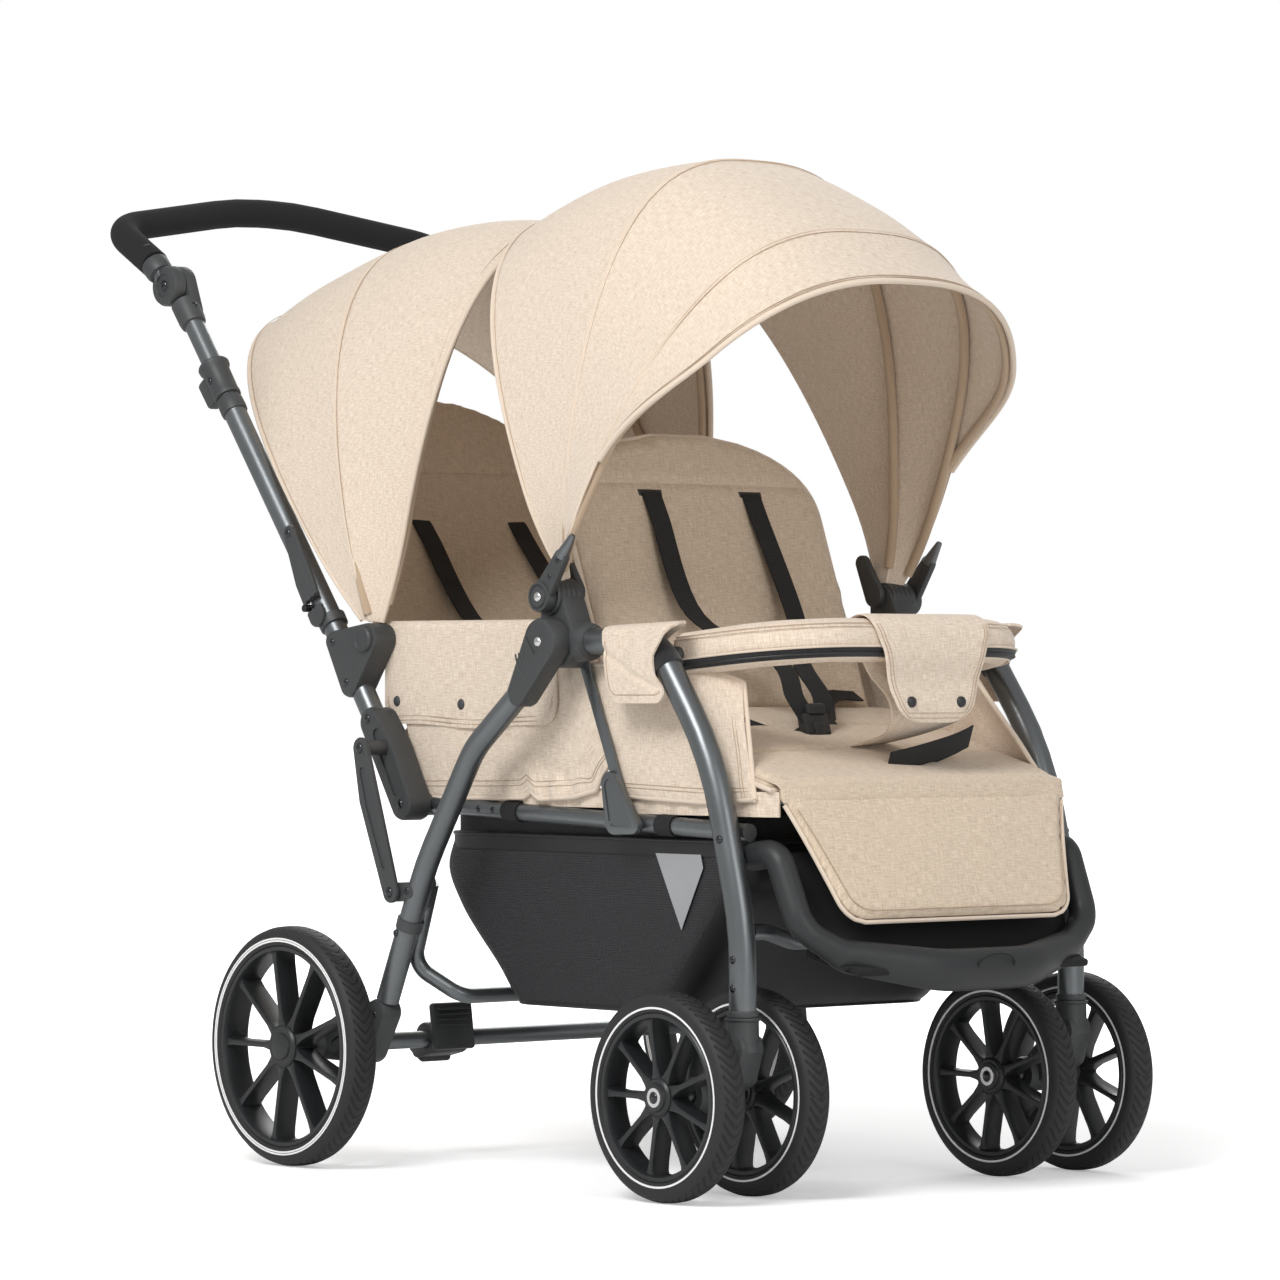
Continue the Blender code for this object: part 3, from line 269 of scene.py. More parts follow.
def threads_group():
    """Warp and weft: two sets of streaks at right angles, and the little hills of a plain weave."""
    group, given, out = new_group(
        "cloth_threads", (("Vector", "Vector", None), ("Thread", "Float", 0.0011)), ("Tone", "Height")
    )
    per_thread = math_node(group, "DIVIDE", 1.0, given.outputs["Thread"])
    warp = noise_at(group, stretched(group, given.outputs["Vector"], (1, 0.09, 1)), per_thread, 3)
    weft = noise_at(group, stretched(group, given.outputs["Vector"], (0.09, 1, 1)), per_thread, 3)
    tone = math_node(
        group, "ADD", math_node(group, "MULTIPLY", warp, 0.5), math_node(group, "MULTIPLY", weft, 0.5)
    )
    sharper = math_node(group, "MULTIPLY", math_node(group, "SUBTRACT", tone, 0.5), 3.2)
    group.links.new(math_node(group, "ADD", sharper, 0.5, clamp=True), out.inputs["Tone"])
    split = group.nodes.new("ShaderNodeSeparateXYZ")
    group.links.new(given.outputs["Vector"], split.inputs[0])
    turns = math_node(group, "MULTIPLY", per_thread, math.pi)
    hills = [
        math_node(group, "SINE", math_node(group, "MULTIPLY", split.outputs[axis], turns))
        for axis in (0, 1)
    ]
    weave = math_node(group, "ABSOLUTE", math_node(group, "MULTIPLY", *hills))
    rough = math_node(
        group, "ADD", math_node(group, "MULTIPLY", weave, 0.5), math_node(group, "MULTIPLY", tone, 0.5)
    )
    group.links.new(rough, out.inputs["Height"])
    return group


def creases_group():
    """The soft hollows and creases that cloth keeps after it has been folded."""
    group, given, out = new_group(
        "cloth_creases", (("Vector", "Vector", None), ("Size", "Float", 0.06)), ("Height",)
    )
    scale = math_node(group, "DIVIDE", 1.0, given.outputs["Size"])
    broad = noise_at(group, given.outputs["Vector"], scale, 2, 0.45)
    ridges = math_node(group, "ABSOLUTE", math_node(group, "SUBTRACT", broad, 0.5))
    group.links.new(math_node(group, "SUBTRACT", broad, ridges), out.inputs["Height"])
    return group


def grain_group():
    """The fine pitted grain of a moulded or painted surface, and slow changes of its gloss."""
    group, given, out = new_group(
        "fine_grain", (("Vector", "Vector", None), ("Size", "Float", 0.0008)), ("Height", "Cloud")
    )
    scale = math_node(group, "DIVIDE", 1.0, given.outputs["Size"])
    group.links.new(noise_at(group, given.outputs["Vector"], scale, 4, 0.6), out.inputs["Height"])
    group.links.new(noise_at(group, given.outputs["Vector"], 14.0, 3), out.inputs["Cloud"])
    return group


def worn_edges_group():
    """A mask that is 1 on raised edges, broken up so that the wear isn't an even line."""
    group, given, out = new_group(
        "worn_edges", (("Vector", "Vector", None), ("Amount", "Float", 0.5)), ("Mask",)
    )
    shape = group.nodes.new("ShaderNodeNewGeometry")
    edge = math_node(
        group, "MULTIPLY", math_node(group, "SUBTRACT", shape.outputs["Pointiness"], 0.52), 14.0, clamp=True
    )
    patchy = noise_at(group, given.outputs["Vector"], 160.0, 4, 0.65)
    worn = math_node(group, "MULTIPLY", edge, patchy)
    group.links.new(
        math_node(group, "MULTIPLY", worn, given.outputs["Amount"], clamp=True), out.inputs["Mask"]
    )
    return group


def tread_group():
    """Slanted grooves that lean both ways from the middle of the tread."""
    group, given, out = new_group(
        "tread_grooves", (("Vector", "Vector", None), ("Pitch", "Float", 0.0105)), ("Height",)
    )
    split = group.nodes.new("ShaderNodeSeparateXYZ")
    group.links.new(given.outputs["Vector"], split.inputs[0])
    around = math_node(group, "DIVIDE", split.outputs[0], given.outputs["Pitch"])
    across = math_node(group, "ABSOLUTE", split.outputs[1])
    slant = math_node(group, "MULTIPLY", math_node(group, "POWER", across, 1.5), 900.0)
    turn = math_node(group, "FRACT", math_node(group, "ADD", around, slant))
    ridge = math_node(group, "ABSOLUTE", math_node(group, "SUBTRACT", turn, 0.5))
    groove = math_node(group, "MULTIPLY", math_node(group, "SUBTRACT", ridge, 0.10), 9.0, clamp=True)
    shoulder = math_node(group, "MULTIPLY", math_node(group, "SUBTRACT", across, 0.0118), 900.0, clamp=True)
    group.links.new(math_node(group, "MAXIMUM", groove, shoulder), out.inputs["Height"])
    return group


THREADS, CREASES, GRAIN = threads_group(), creases_group(), grain_group()
WORN, TREAD = worn_edges_group(), tread_group()

# %% [markdown]
# A cloth material reads the piece's own "cloth" coordinates, which are metres along the
# threads, so the weave follows each panel round its curve. Hard materials read Object coordinates.


# %% Materials
def start_material(name, roughness, metallic=0.0):
    made = bpy.data.materials.new(name)
    made.use_nodes = True
    shader = made.node_tree.nodes["Principled BSDF"]
    shader.inputs["Roughness"].default_value = roughness
    shader.inputs["Metallic"].default_value = metallic
    return made, made.node_tree, shader


def placed(tree, group, vector, **values):
    node = tree.nodes.new("ShaderNodeGroup")
    node.node_tree = group
    tree.links.new(vector, node.inputs["Vector"])
    for label, value in values.items():
        node.inputs[label].default_value = value
    return node


def bumped(tree, height, strength, distance, normal=None):
    node = tree.nodes.new("ShaderNodeBump")
    node.inputs["Strength"].default_value = strength
    node.inputs["Distance"].default_value = distance
    tree.links.new(height, node.inputs["Height"])
    if normal:
        tree.links.new(normal, node.inputs["Normal"])
    return node.outputs["Normal"]


def mixed(tree, factor, first, second):
    node = tree.nodes.new("ShaderNodeMix")
    node.data_type = "RGBA"
    sockets = [s for s in node.inputs if s.type == "RGBA"]
    for socket, value in zip(sockets, (first, second)):
        if isinstance(value, tuple):
            socket.default_value = (*value, 1)
        else:
            tree.links.new(value, socket)
    tree.links.new(factor, node.inputs["Factor"])
    return next(s for s in node.outputs if s.type == "RGBA")


def cloth(name, dark, light, thread=0.0011, crease=0.0016, crease_size=0.07, sheen=0.25):
    """Woven melange cloth: pale and darker threads, a soft sheen and shallow creases."""
    made, tree, shader = start_material(name, 0.92)
    shader.inputs["Sheen Weight"].default_value = sheen
    shader.inputs["Sheen Roughness"].default_value = 0.6
    shader.inputs["Specular IOR Level"].default_value = 0.2
    uv = tree.nodes.new("ShaderNodeUVMap")
    uv.uv_map = "cloth"
    place = tree.nodes.new("ShaderNodeTexCoord")
    threads = placed(tree, THREADS, uv.outputs[0], Thread=thread)
    creases = placed(tree, CREASES, place.outputs["Object"], Size=crease_size)
    color = mixed(tree, threads.outputs["Tone"], dark, light)
    tree.links.new(color, shader.inputs["Base Color"])
    soft = bumped(tree, creases.outputs["Height"], 0.6, crease)
    tree.links.new(bumped(tree, threads.outputs["Height"], 0.5, 0.00025, soft), shader.inputs["Normal"])
    return made


def hard(name, color, roughness, metallic=0.0, grain=0.00006, size=0.0009, wear=0.35):
    """A painted, moulded or metal surface with a fine grain and rubbed edges."""
    made, tree, shader = start_material(name, roughness, metallic)
    place = tree.nodes.new("ShaderNodeTexCoord")
    fine = placed(tree, GRAIN, place.outputs["Object"], Size=size)
    worn = placed(tree, WORN, place.outputs["Object"], Amount=wear)
    lighter = tuple(min(1.0, c * 2.2 + 0.02) for c in color)
    faded = tuple(c * 1.25 for c in color)
    base = mixed(tree, fine.outputs["Cloud"], color, faded)
    tree.links.new(mixed(tree, worn.outputs["Mask"], base, lighter), shader.inputs["Base Color"])
    uneven = math_node(tree, "MULTIPLY", math_node(tree, "SUBTRACT", fine.outputs["Cloud"], 0.5), 0.16)
    tree.links.new(math_node(tree, "ADD", uneven, roughness, clamp=True), shader.inputs["Roughness"])
    tree.links.new(bumped(tree, fine.outputs["Height"], 0.5, grain), shader.inputs["Normal"])
    return made


def webbing(name, color):
    """A narrow strap: ribs straight across it, a millimetre and a half apart."""
    made, tree, shader = start_material(name, 0.75)
    uv = tree.nodes.new("ShaderNodeUVMap")
    uv.uv_map = "cloth"
    threads = placed(tree, THREADS, uv.outputs[0], Thread=0.0016)
    # Partly painted light: the strap's colour follows the thread height, which is half thread tone and half
    # weave, so raised threads get a painted highlight and the hollows painted shade.
    tree.links.new(
        mixed(
            tree, threads.outputs["Height"], tuple(c * 0.6 for c in color), tuple(c * 1.7 for c in color)
        ),
        shader.inputs["Base Color"],
    )
    tree.links.new(bumped(tree, threads.outputs["Height"], 0.8, 0.0005), shader.inputs["Normal"])
    return made


def tread_rubber(name, color):
    """Black rubber whose tread is cut by slanted grooves."""
    made, tree, shader = start_material(name, 0.62)
    uv = tree.nodes.new("ShaderNodeUVMap")
    uv.uv_map = "tread"
    place = tree.nodes.new("ShaderNodeTexCoord")
    grooves = placed(tree, TREAD, uv.outputs[0])
    fine = placed(tree, GRAIN, place.outputs["Object"], Size=0.0012)
    # Painted shade: the tread's grooves are coloured darker than the rest of the rubber.
    dark = tuple(c * 0.45 for c in color)
    tree.links.new(mixed(tree, grooves.outputs["Height"], dark, color), shader.inputs["Base Color"])
    grain = bumped(tree, fine.outputs["Height"], 0.5, 0.0001)
    tree.links.new(bumped(tree, grooves.outputs["Height"], 1.0, 0.0011, grain), shader.inputs["Normal"])
    return made


def open_mesh(name, color, pitch=0.0024, clear=0.22):
    """Black net in fine rows: small dots of light on the threads, small holes between them."""
    made, tree, shader = start_material(name, 0.62)
    uv = tree.nodes.new("ShaderNodeUVMap")
    uv.uv_map = "cloth"
    dots = tree.nodes.new("ShaderNodeTexVoronoi")
    dots.inputs["Scale"].default_value = 1.0 / pitch
    dots.inputs["Randomness"].default_value = 0.0
    tree.links.new(uv.outputs[0], dots.inputs["Vector"])
    hollow = math_node(tree, "LESS_THAN", dots.outputs["Distance"], 0.24)
    light = tuple(c * 4.2 for c in color)
    tree.links.new(mixed(tree, dots.outputs["Distance"], color, light), shader.inputs["Base Color"])
    seen = math_node(tree, "SUBTRACT", 1.0, math_node(tree, "MULTIPLY", hollow, clear))
    tree.links.new(seen, shader.inputs["Alpha"])
    tree.links.new(bumped(tree, dots.outputs["Distance"], 0.7, 0.0004), shader.inputs["Normal"])
    return made


BEIGE_DARK, BEIGE_LIGHT = (0.575, 0.452, 0.340), (0.865, 0.748, 0.625)
LOOKS = {
    "beige": cloth("beige_melange_cloth", BEIGE_DARK, BEIGE_LIGHT),
    # Partly painted shade: the lining is a somewhat more tan cloth, and its tones are darkened further for
    # the shade inside the hoods.
    "lining": cloth("beige_lining_painted_shade_cloth", (0.36, 0.26, 0.17), (0.58, 0.44, 0.31)),
    # Painted shade: the pads are the same beige cloth, given darker tones for the shade that the hoods cast
    # over the seats.
    "beige_pad": cloth("beige_padded_painted_shade_cloth", (0.50, 0.385, 0.275), (0.76, 0.635, 0.495), crease=0.0022),
    "seam": cloth("seam_thread", (0.36, 0.26, 0.18), (0.50, 0.38, 0.27), thread=0.0006, crease=0.0002),
    "black_cloth": cloth("black_cloth", (0.006, 0.006, 0.007), (0.022, 0.022, 0.024)),
    "black_satin": hard("black_satin_cloth", (0.012, 0.012, 0.013), 0.42, 0.0, 0.0002, 0.0016, 0.0),
    "black_mesh": open_mesh("black_mesh_cloth", (0.009, 0.009, 0.010)),
    "webbing": webbing("black_webbing", (0.010, 0.010, 0.011)),
    "metal": hard("graphite_frame_metal", (0.150, 0.160, 0.165), 0.34, 0.85, 0.00003, 0.0006, 0.25),
    "plastic": hard("moulded_grey_plastic", (0.040, 0.042, 0.043), 0.50, 0.0, 0.00008, 0.0007),
    "dark": hard("moulded_dark_plastic", (0.018, 0.019, 0.020), 0.48, 0.0, 0.00008, 0.0007, 0.2),
    "wheel": hard("moulded_black_wheel", (0.014, 0.015, 0.016), 0.40, 0.0, 0.00005, 0.0008, 0.25),
    "rubber": tread_rubber("tyre_rubber", (0.017, 0.017, 0.018)),
    "foam": hard("foam_grip", (0.010, 0.010, 0.011), 0.95, 0.0, 0.0003, 0.0011, 0.0),
    "white_line": hard("white_tyre_line", (0.80, 0.80, 0.79), 0.5, 0.0, 0.00003, 0.0010, 0.0),
    "rivet": hard("dark_rivet_steel", (0.055, 0.057, 0.06), 0.22, 0.9, 0.00001, 0.0010, 0.2),
    "steel": hard("bright_bearing_steel", (0.62, 0.62, 0.61), 0.22, 1.0, 0.00001, 0.0010, 0.0),
    "silver": hard("silver_reflector", (0.34, 0.35, 0.36), 0.45, 0.3, 0.0001, 0.0012, 0.0),
}
print("materials", len(LOOKS))

# %% [markdown]
# ## Ways of making a piece
# Each helper does by script what a hand does in Blender: add a primitive, shape it in edit mode,
# finish it with modifiers that are applied, and leave its object at the origin.


# %% Helpers for modelling
def pick(obj):
    """Makes one object the only one that an operator acts on."""
    bpy.ops.object.select_all(action="DESELECT")
    obj.select_set(True)
    bpy.context.view_layer.objects.active = obj
    return obj


def editing(obj, *steps):
    """Runs edit-mode steps on everything in the mesh."""
    pick(obj)
    bpy.ops.object.mode_set(mode="EDIT")
    bpy.ops.mesh.select_all(action="SELECT")
    for step in steps:
        step()
    bpy.ops.object.mode_set(mode="OBJECT")
    return obj


def outward():
    bpy.ops.mesh.remove_doubles(threshold=0.00001)
    bpy.ops.mesh.delete_loose()
    bpy.ops.mesh.select_all(action="SELECT")
    bpy.ops.mesh.normals_make_consistent(inside=False)


def applied(obj, kind, **values):
    """Adds a modifier with these values and applies it."""
    pick(obj)
    step = obj.modifiers.new(kind.lower(), kind)
    for name, value in values.items():
        setattr(step, name, value)
    bpy.ops.object.modifier_apply(modifier=step.name)
    return obj


def smooth_divided(obj, levels=1):
    return applied(obj, "SUBSURF", levels=levels, render_levels=levels)


def rounded_edges(obj, width, segments=2, angle=math.radians(35)):
    return applied(obj, "BEVEL", width=width, segments=segments, limit_method="ANGLE", angle_limit=angle)


def boolean(obj, tool, operation):
    applied(obj, "BOOLEAN", operation=operation, object=tool, solver="EXACT")
    bpy.data.objects.remove(tool, do_unlink=True)
    return obj


CLOTH_ANGLE = math.radians(60)
STITCH_RADIUS = 0.0004


def finished(obj, name, look, body, soft_angle=math.radians(32)):
    """Names a piece, puts its place in its mesh, gives it its finish and lets it ride."""
    pick(obj)
    bpy.ops.object.transform_apply(location=True, rotation=True, scale=True)
    bpy.ops.object.shade_smooth_by_angle(angle=soft_angle)
    obj.name = name
    obj.data.name = name
    obj.data.materials.clear()
    obj.data.materials.append(LOOKS[look])
    if body:
        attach(obj, body)
    return obj


def joined(pieces):
    """Several meshes made one object, without merging their surfaces."""
    bpy.ops.object.select_all(action="DESELECT")
    for piece in pieces:
        piece.select_set(True)
    bpy.context.view_layer.objects.active = pieces[0]
    if len(pieces) > 1:
        bpy.ops.object.join()
    return pieces[0]


def bent_path(corners, radii, step=math.radians(5)):
    """A path through the corners, each rounded with its own bend radius."""
    corners = [Vector(c) for c in corners]
    path = [corners[0]]
    for before, corner, after, radius in zip(corners, corners[1:], corners[2:], radii):
        go_in, go_out = (corner - before).normalized(), (after - corner).normalized()
        angle = go_in.angle(go_out)
        reach = radius * math.tan(angle / 2)
        start, end = corner - go_in * reach, corner + go_out * reach
        centre = corner + (go_out - go_in).normalized() * radius / math.cos(angle / 2)
        count = max(2, round(angle / step))
        for i in range(count + 1):
            share = i / count
            swing = (start - centre) * math.sin((1 - share) * angle)
            swing += (end - centre) * math.sin(share * angle)
            path.append(centre + swing / math.sin(angle))
    path.append(corners[-1])
    return path


def tube(path, radius, sides=24):
    """A round tube along a path: a curve with a bevel, made a mesh, its ends closed."""
    bpy.ops.curve.primitive_bezier_curve_add()
    curve = bpy.context.active_object
    curve.data.splines.clear()
    curve.data.dimensions = "3D"
    curve.data.bevel_depth = radius
    curve.data.bevel_resolution = (sides - 4) // 2
    curve.data.use_fill_caps = True
    spline = curve.data.splines.new("POLY")
    spline.points.add(len(path) - 1)
    for point, spot in zip(spline.points, path):
        point.co = (*spot, 1.0)
    pick(curve)
    bpy.ops.object.convert(target="MESH")
    return editing(bpy.context.active_object, outward)


def rod(start, end, radius, sides=32, edge=0.0006, narrow=None):
    """A round bar between two points, with its rims broken."""
    start, end = Vector(start), Vector(end)
    bpy.ops.mesh.primitive_cone_add(
        vertices=sides,
        radius1=radius,
        radius2=radius if narrow is None else narrow,
        depth=(end - start).length,
        location=(start + end) / 2,
        rotation=(end - start).to_track_quat("Z", "Y").to_euler(),
    )
    obj = bpy.context.active_object
    bpy.ops.object.transform_apply(location=True, rotation=True, scale=True)
    return rounded_edges(obj, edge) if edge else obj


def block(size, centre, tilt=0.0, edge=0.001):
    """A box tilted about the X axis, its edges rounded."""
    bpy.ops.mesh.primitive_cube_add(size=1, location=centre, rotation=(tilt, 0, 0), scale=size)
    obj = bpy.context.active_object
    bpy.ops.object.transform_apply(location=True, rotation=True, scale=True)
    return rounded_edges(obj, edge) if edge else obj


def band_outline(circles, count=72):
    """The outline of a band drawn tight round some side-view circles (y, z, radius)."""
    outline = []
    for i in range(count):
        angle = 2 * math.pi * i / count
        way = (math.cos(angle), math.sin(angle))
        y, z, radius = max(circles, key=lambda c: c[0] * way[0] + c[1] * way[1] + c[2])
        spot = (y + radius * way[0], z + radius * way[1])
        if not outline or math.dist(spot, outline[-1]) > 0.00005:
            outline.append(spot)
    return outline


def plate(outline, x_inner, x_outer, edge=0.0015):
    """A flat moulding: the outline filled, extruded sideways, its edges rounded."""
    bpy.ops.mesh.primitive_circle_add(vertices=len(outline), radius=0.01, fill_type="NGON")
    obj = bpy.context.active_object
    for vertex, place in zip(obj.data.vertices, outline):
        vertex.co = at(place, x_inner)
    move = {"value": (x_outer - x_inner, 0, 0)}
    editing(obj, lambda: bpy.ops.mesh.extrude_region_move(TRANSFORM_OT_translate=move))
    editing(obj, outward)
    return rounded_edges(obj, edge) if edge else obj


def spun(profile, centre, axis=(1, 0, 0), steps=64):
    """A turned piece: a closed profile of (radius, along) points spun about the axis."""
    axis = Vector(axis).normalized()
    side = Vector((0, 0, 1)) if abs(axis.z) < 0.9 else Vector((0, 1, 0))
    side = (side - axis * side.dot(axis)).normalized()
    bpy.ops.mesh.primitive_circle_add(vertices=len(profile), radius=0.01, fill_type="NOTHING")
    obj = bpy.context.active_object
    for vertex, (radius, along) in zip(obj.data.vertices, profile):
        vertex.co = Vector(centre) + axis * along + side * radius

    def turn():
        bpy.ops.mesh.spin(steps=steps, angle=2 * math.pi, center=centre, axis=axis)
        bpy.ops.mesh.select_all(action="SELECT")

    return editing(obj, turn, outward)


def dome(spot, way, radius, height=None, steps=20):
    """A domed head, such as a rivet's, standing on a surface and looking along way."""
    height = height or radius * 0.55
    rise = [
        (radius * math.cos(a), height * math.sin(a)) for a in (math.radians(d) for d in (0, 22, 45, 68))
    ]
    return spun([(0, -height * 0.6), (radius, -height * 0.6), *rise, (0, height)], spot, way, steps)


def rivets(name, spots, way, radius, body, look="rivet"):
    """A group of equal rivet heads as one object."""
    return finished(joined([dome(spot, way, radius) for spot in spots]), name, look, body)


def both(build):
    for side, letter in SIDES:
        build(side, letter)


# %% [markdown]
# ## The frame
# The legs, rails and push tubes are round steel tube with a satin graphite coat. The left and
# right ones are the same bends in mirrored planes, so each is built twice by one function.

# %% Front legs, rails and struts
LEG_FOOT = (CASTER_STEM_Y, 0.180)
LEG_KNEE = (CASTER_STEM_Y, 0.265)
LEG_MID = (-0.575, 0.430)
LEG_BEND = (-0.490, 0.545)
RAIL_FRONT = (-0.603, 0.358)
STRUT_FOOT = (-0.436, 0.366)
STRUT_WIDTH = 0.013
INNER_X = RAIL_X + RAIL_RADIUS


def front_leg(side, letter):
    x = side * LEG_X
    corners = [
        at(LEG_FOOT, x), at(LEG_KNEE, x), at(LEG_MID, x), at(LEG_BEND, x), at((HUB[0] - 0.010, HUB[1]), x)
    ]
    leg = finished(
        tube(bent_path(corners, (0.30, 0.30, 0.065)), LEG_RADIUS, 28), "leg_tube_" + letter, "metal",
        "chassis",
    )
    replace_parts(leg, "front_leg_" + letter)
    outer = side * (LEG_X + LEG_RADIUS - 0.0006)
    heights = ((-0.6178, 0.236), (-0.6178, 0.208), (-0.6178, 0.184), (-0.598, 0.352))
    rivets("leg_rivets_" + letter, [at(spot, outer) for spot in heights], (side, 0, 0), 0.0042, "chassis")
    collar = spun(
        [(0.0132, 0), (0.0150, 0), (0.0156, 0.003), (0.0150, 0.006), (0.0132, 0.006)],
        at((CASTER_STEM_Y, 0.1802), x), (0, 0, 1), 40,
    )
    finished(collar, "leg_foot_ring_" + letter, "plastic", "chassis")


both(front_leg)


# %% Side rails
def side_rail(side, letter):
    x = side * RAIL_X
    run = tube([at(FOLD_PIVOT, x), at(RAIL_FRONT, x)], RAIL_RADIUS, 20)
    rail = finished(run, "rail_tube_" + letter, "metal", "chassis")
    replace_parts(rail, "side_rail_" + letter)
    eye = plate(band_outline([(*FOLD_PIVOT, 0.0125)]), side * (RAIL_X - RAIL_RADIUS), side * INNER_X)
    finished(eye, "rail_eye_" + letter, "metal", "chassis")
    pin = rod(at(FOLD_PIVOT, side * INNER_X), at(FOLD_PIVOT, side * (PUSH_X + 0.0158)), 0.004)
    finished(pin, "fold_pin_" + letter, "rivet", "chassis")
    slope = (RAIL_FRONT[1] - FOLD_PIVOT[1]) / (RAIL_FRONT[0] - FOLD_PIVOT[0])

    def on_rail(y):
        return (y, FOLD_PIVOT[1] + slope * (y - FOLD_PIVOT[0]))

    outer = side * (INNER_X - 0.0006)
    spots = [at(on_rail(y), outer) for y in (-0.195, -0.218)]
    rivets("rail_rivets_" + letter, spots, (side, 0, 0), 0.0036, "chassis")
    for count, y in enumerate((-0.244, -0.483)):
        low, high = at(on_rail(y - 0.012), x), at(on_rail(y + 0.012), x)
        profile = [
            (0.0092, 0), (0.0106, 0), (0.0109, 0.004), (0.0109, 0.020), (0.0106, 0.024), (0.0092, 0.024)
        ]
        loop = spun(profile, low, (high - low).normalized(), 28)
        finished(loop, f"rail_loop_{letter}{count}", "webbing", "chassis")


both(side_rail)


# %% Struts
def strut(side, letter):
    down = (Vector(STRUT_FOOT) - Vector(HUB)).normalized()
    top = Vector(HUB) + down * (0.020 + STRUT_WIDTH / 2)
    outline = band_outline([(*top, STRUT_WIDTH / 2), (*STRUT_FOOT, STRUT_WIDTH / 2)])
    bar = plate(outline, side * (INNER_X + CLEARANCE), side * (INNER_X + 0.0043), 0.0008)
    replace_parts(finished(bar, "strut_bar_" + letter, "metal", "chassis"), "strut_" + letter)
    shell = band_outline([(-0.412, 0.404, 0.012), (-0.448, 0.362, 0.009), (-0.420, 0.366, 0.014)])
    cover = plate(shell, side * (INNER_X + 0.0013), side * (INNER_X + 0.0103), 0.0030)
    pressed = band_outline([(-0.414, 0.401, 0.0075), (-0.440, 0.367, 0.006), (-0.422, 0.370, 0.009)])
    hollow = plate(pressed, side * (INNER_X + 0.0092), side * (INNER_X + 0.020), 0)
    boolean(cover, hollow, "DIFFERENCE")
    finished(cover, "strut_cover_" + letter, "metal", "chassis")


both(strut)


# %% [markdown]
# The hub is the stroller's main moulding: it holds the end of the front leg, the pivot of the
# rear leg and, on top, the drum that the hood's ribs turn on.

# %% Hubs
HUB_SHELL = 0.0262
DISC_RADIUS = 0.0172
HUB_INNER_X = LEG_X - LEG_RADIUS
HUB_OUTER_X = REAR_LEG_X - 0.012


def hub(side, letter):
    shell = plate(
        band_outline([(*HUB, HUB_SHELL), (*HUB_DISC, DISC_RADIUS)]), side * HUB_INNER_X,
        side * HUB_OUTER_X, 0.004,
    )
    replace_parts(finished(shell, "hub_shell_" + letter, "plastic", "chassis"), "front_hub_" + letter)
    drum = [(0.004, -0.001)]
    for count in range(5):
        start = 0.004 + count * 0.0065
        drum += [
            (0.0182, start), (0.0188, start + 0.0010), (0.0188, start + 0.0045), (0.0182, start + 0.0055)
        ]
    drum += [(0.004, HUB_OUTER_X - HUB_INNER_X - 0.002)]
    ribbed = spun(drum, at(HUB_DISC, side * HUB_INNER_X), (side, 0, 0), 48)
    finished(ribbed, "hood_drum_" + letter, "plastic", "chassis")
    leg_mouth = [(0.0137, 0), (0.0185, 0.002), (0.0200, 0.008), (0.0205, 0.020), (0.0137, 0.020)]
    mouth = spun(leg_mouth, at((HUB[0] - 0.036, HUB[1]), side * LEG_X), (0, 1, 0), 40)
    finished(mouth, "leg_mouth_" + letter, "plastic", "chassis")
    face_x = side * (REAR_LEG_X + 0.0042)
    disc = spun(
        [
            (0, -0.014), (0.0150, -0.014), (0.0155, -0.002), (0.0148, 0), (0.0128, 0),
            (0.0122, -0.0012), (0.0108, -0.0012), (0.0100, 0.0002), (0, 0.0002),
        ],
        at(HUB_DISC, face_x),
        (side, 0, 0),
        48,
    )
    finished(disc, "hood_disc_" + letter, "plastic", "chassis")
    rivets(
        "hub_rivets_" + letter, [at(HUB_DISC, face_x), at(HUB, side * (REAR_LEG_X + 0.0124))],
        (side, 0, 0), 0.0052, "chassis", "steel",
    )


both(hub)


# %% [markdown]
# The rear leg turns on the hub and ends in a moulded arm that holds the rear wheel. A bowed bar
# and a round cross tube tie the two rear legs together, and the brake pedal rocks on that tube.

# %% Rear legs and arms
REAR_LEG_SHOULDER = (-0.243, 0.437)
REAR_LEG_KNEE = (-0.165, 0.318)
REAR_LEG_END = (-0.101, 0.1755)
LINK_BOTTOM = (-0.127, 0.288)
REAR_CROSS = PEDAL_PIVOT
REAR_LEG_RADIUS = 0.012
REAR_TYRE_HALF, FRONT_TYRE_HALF = 0.018, 0.016
RIM_SHARE = 0.86
REAR_WHEEL_X = abs(middle("rear_tyre_R").x)


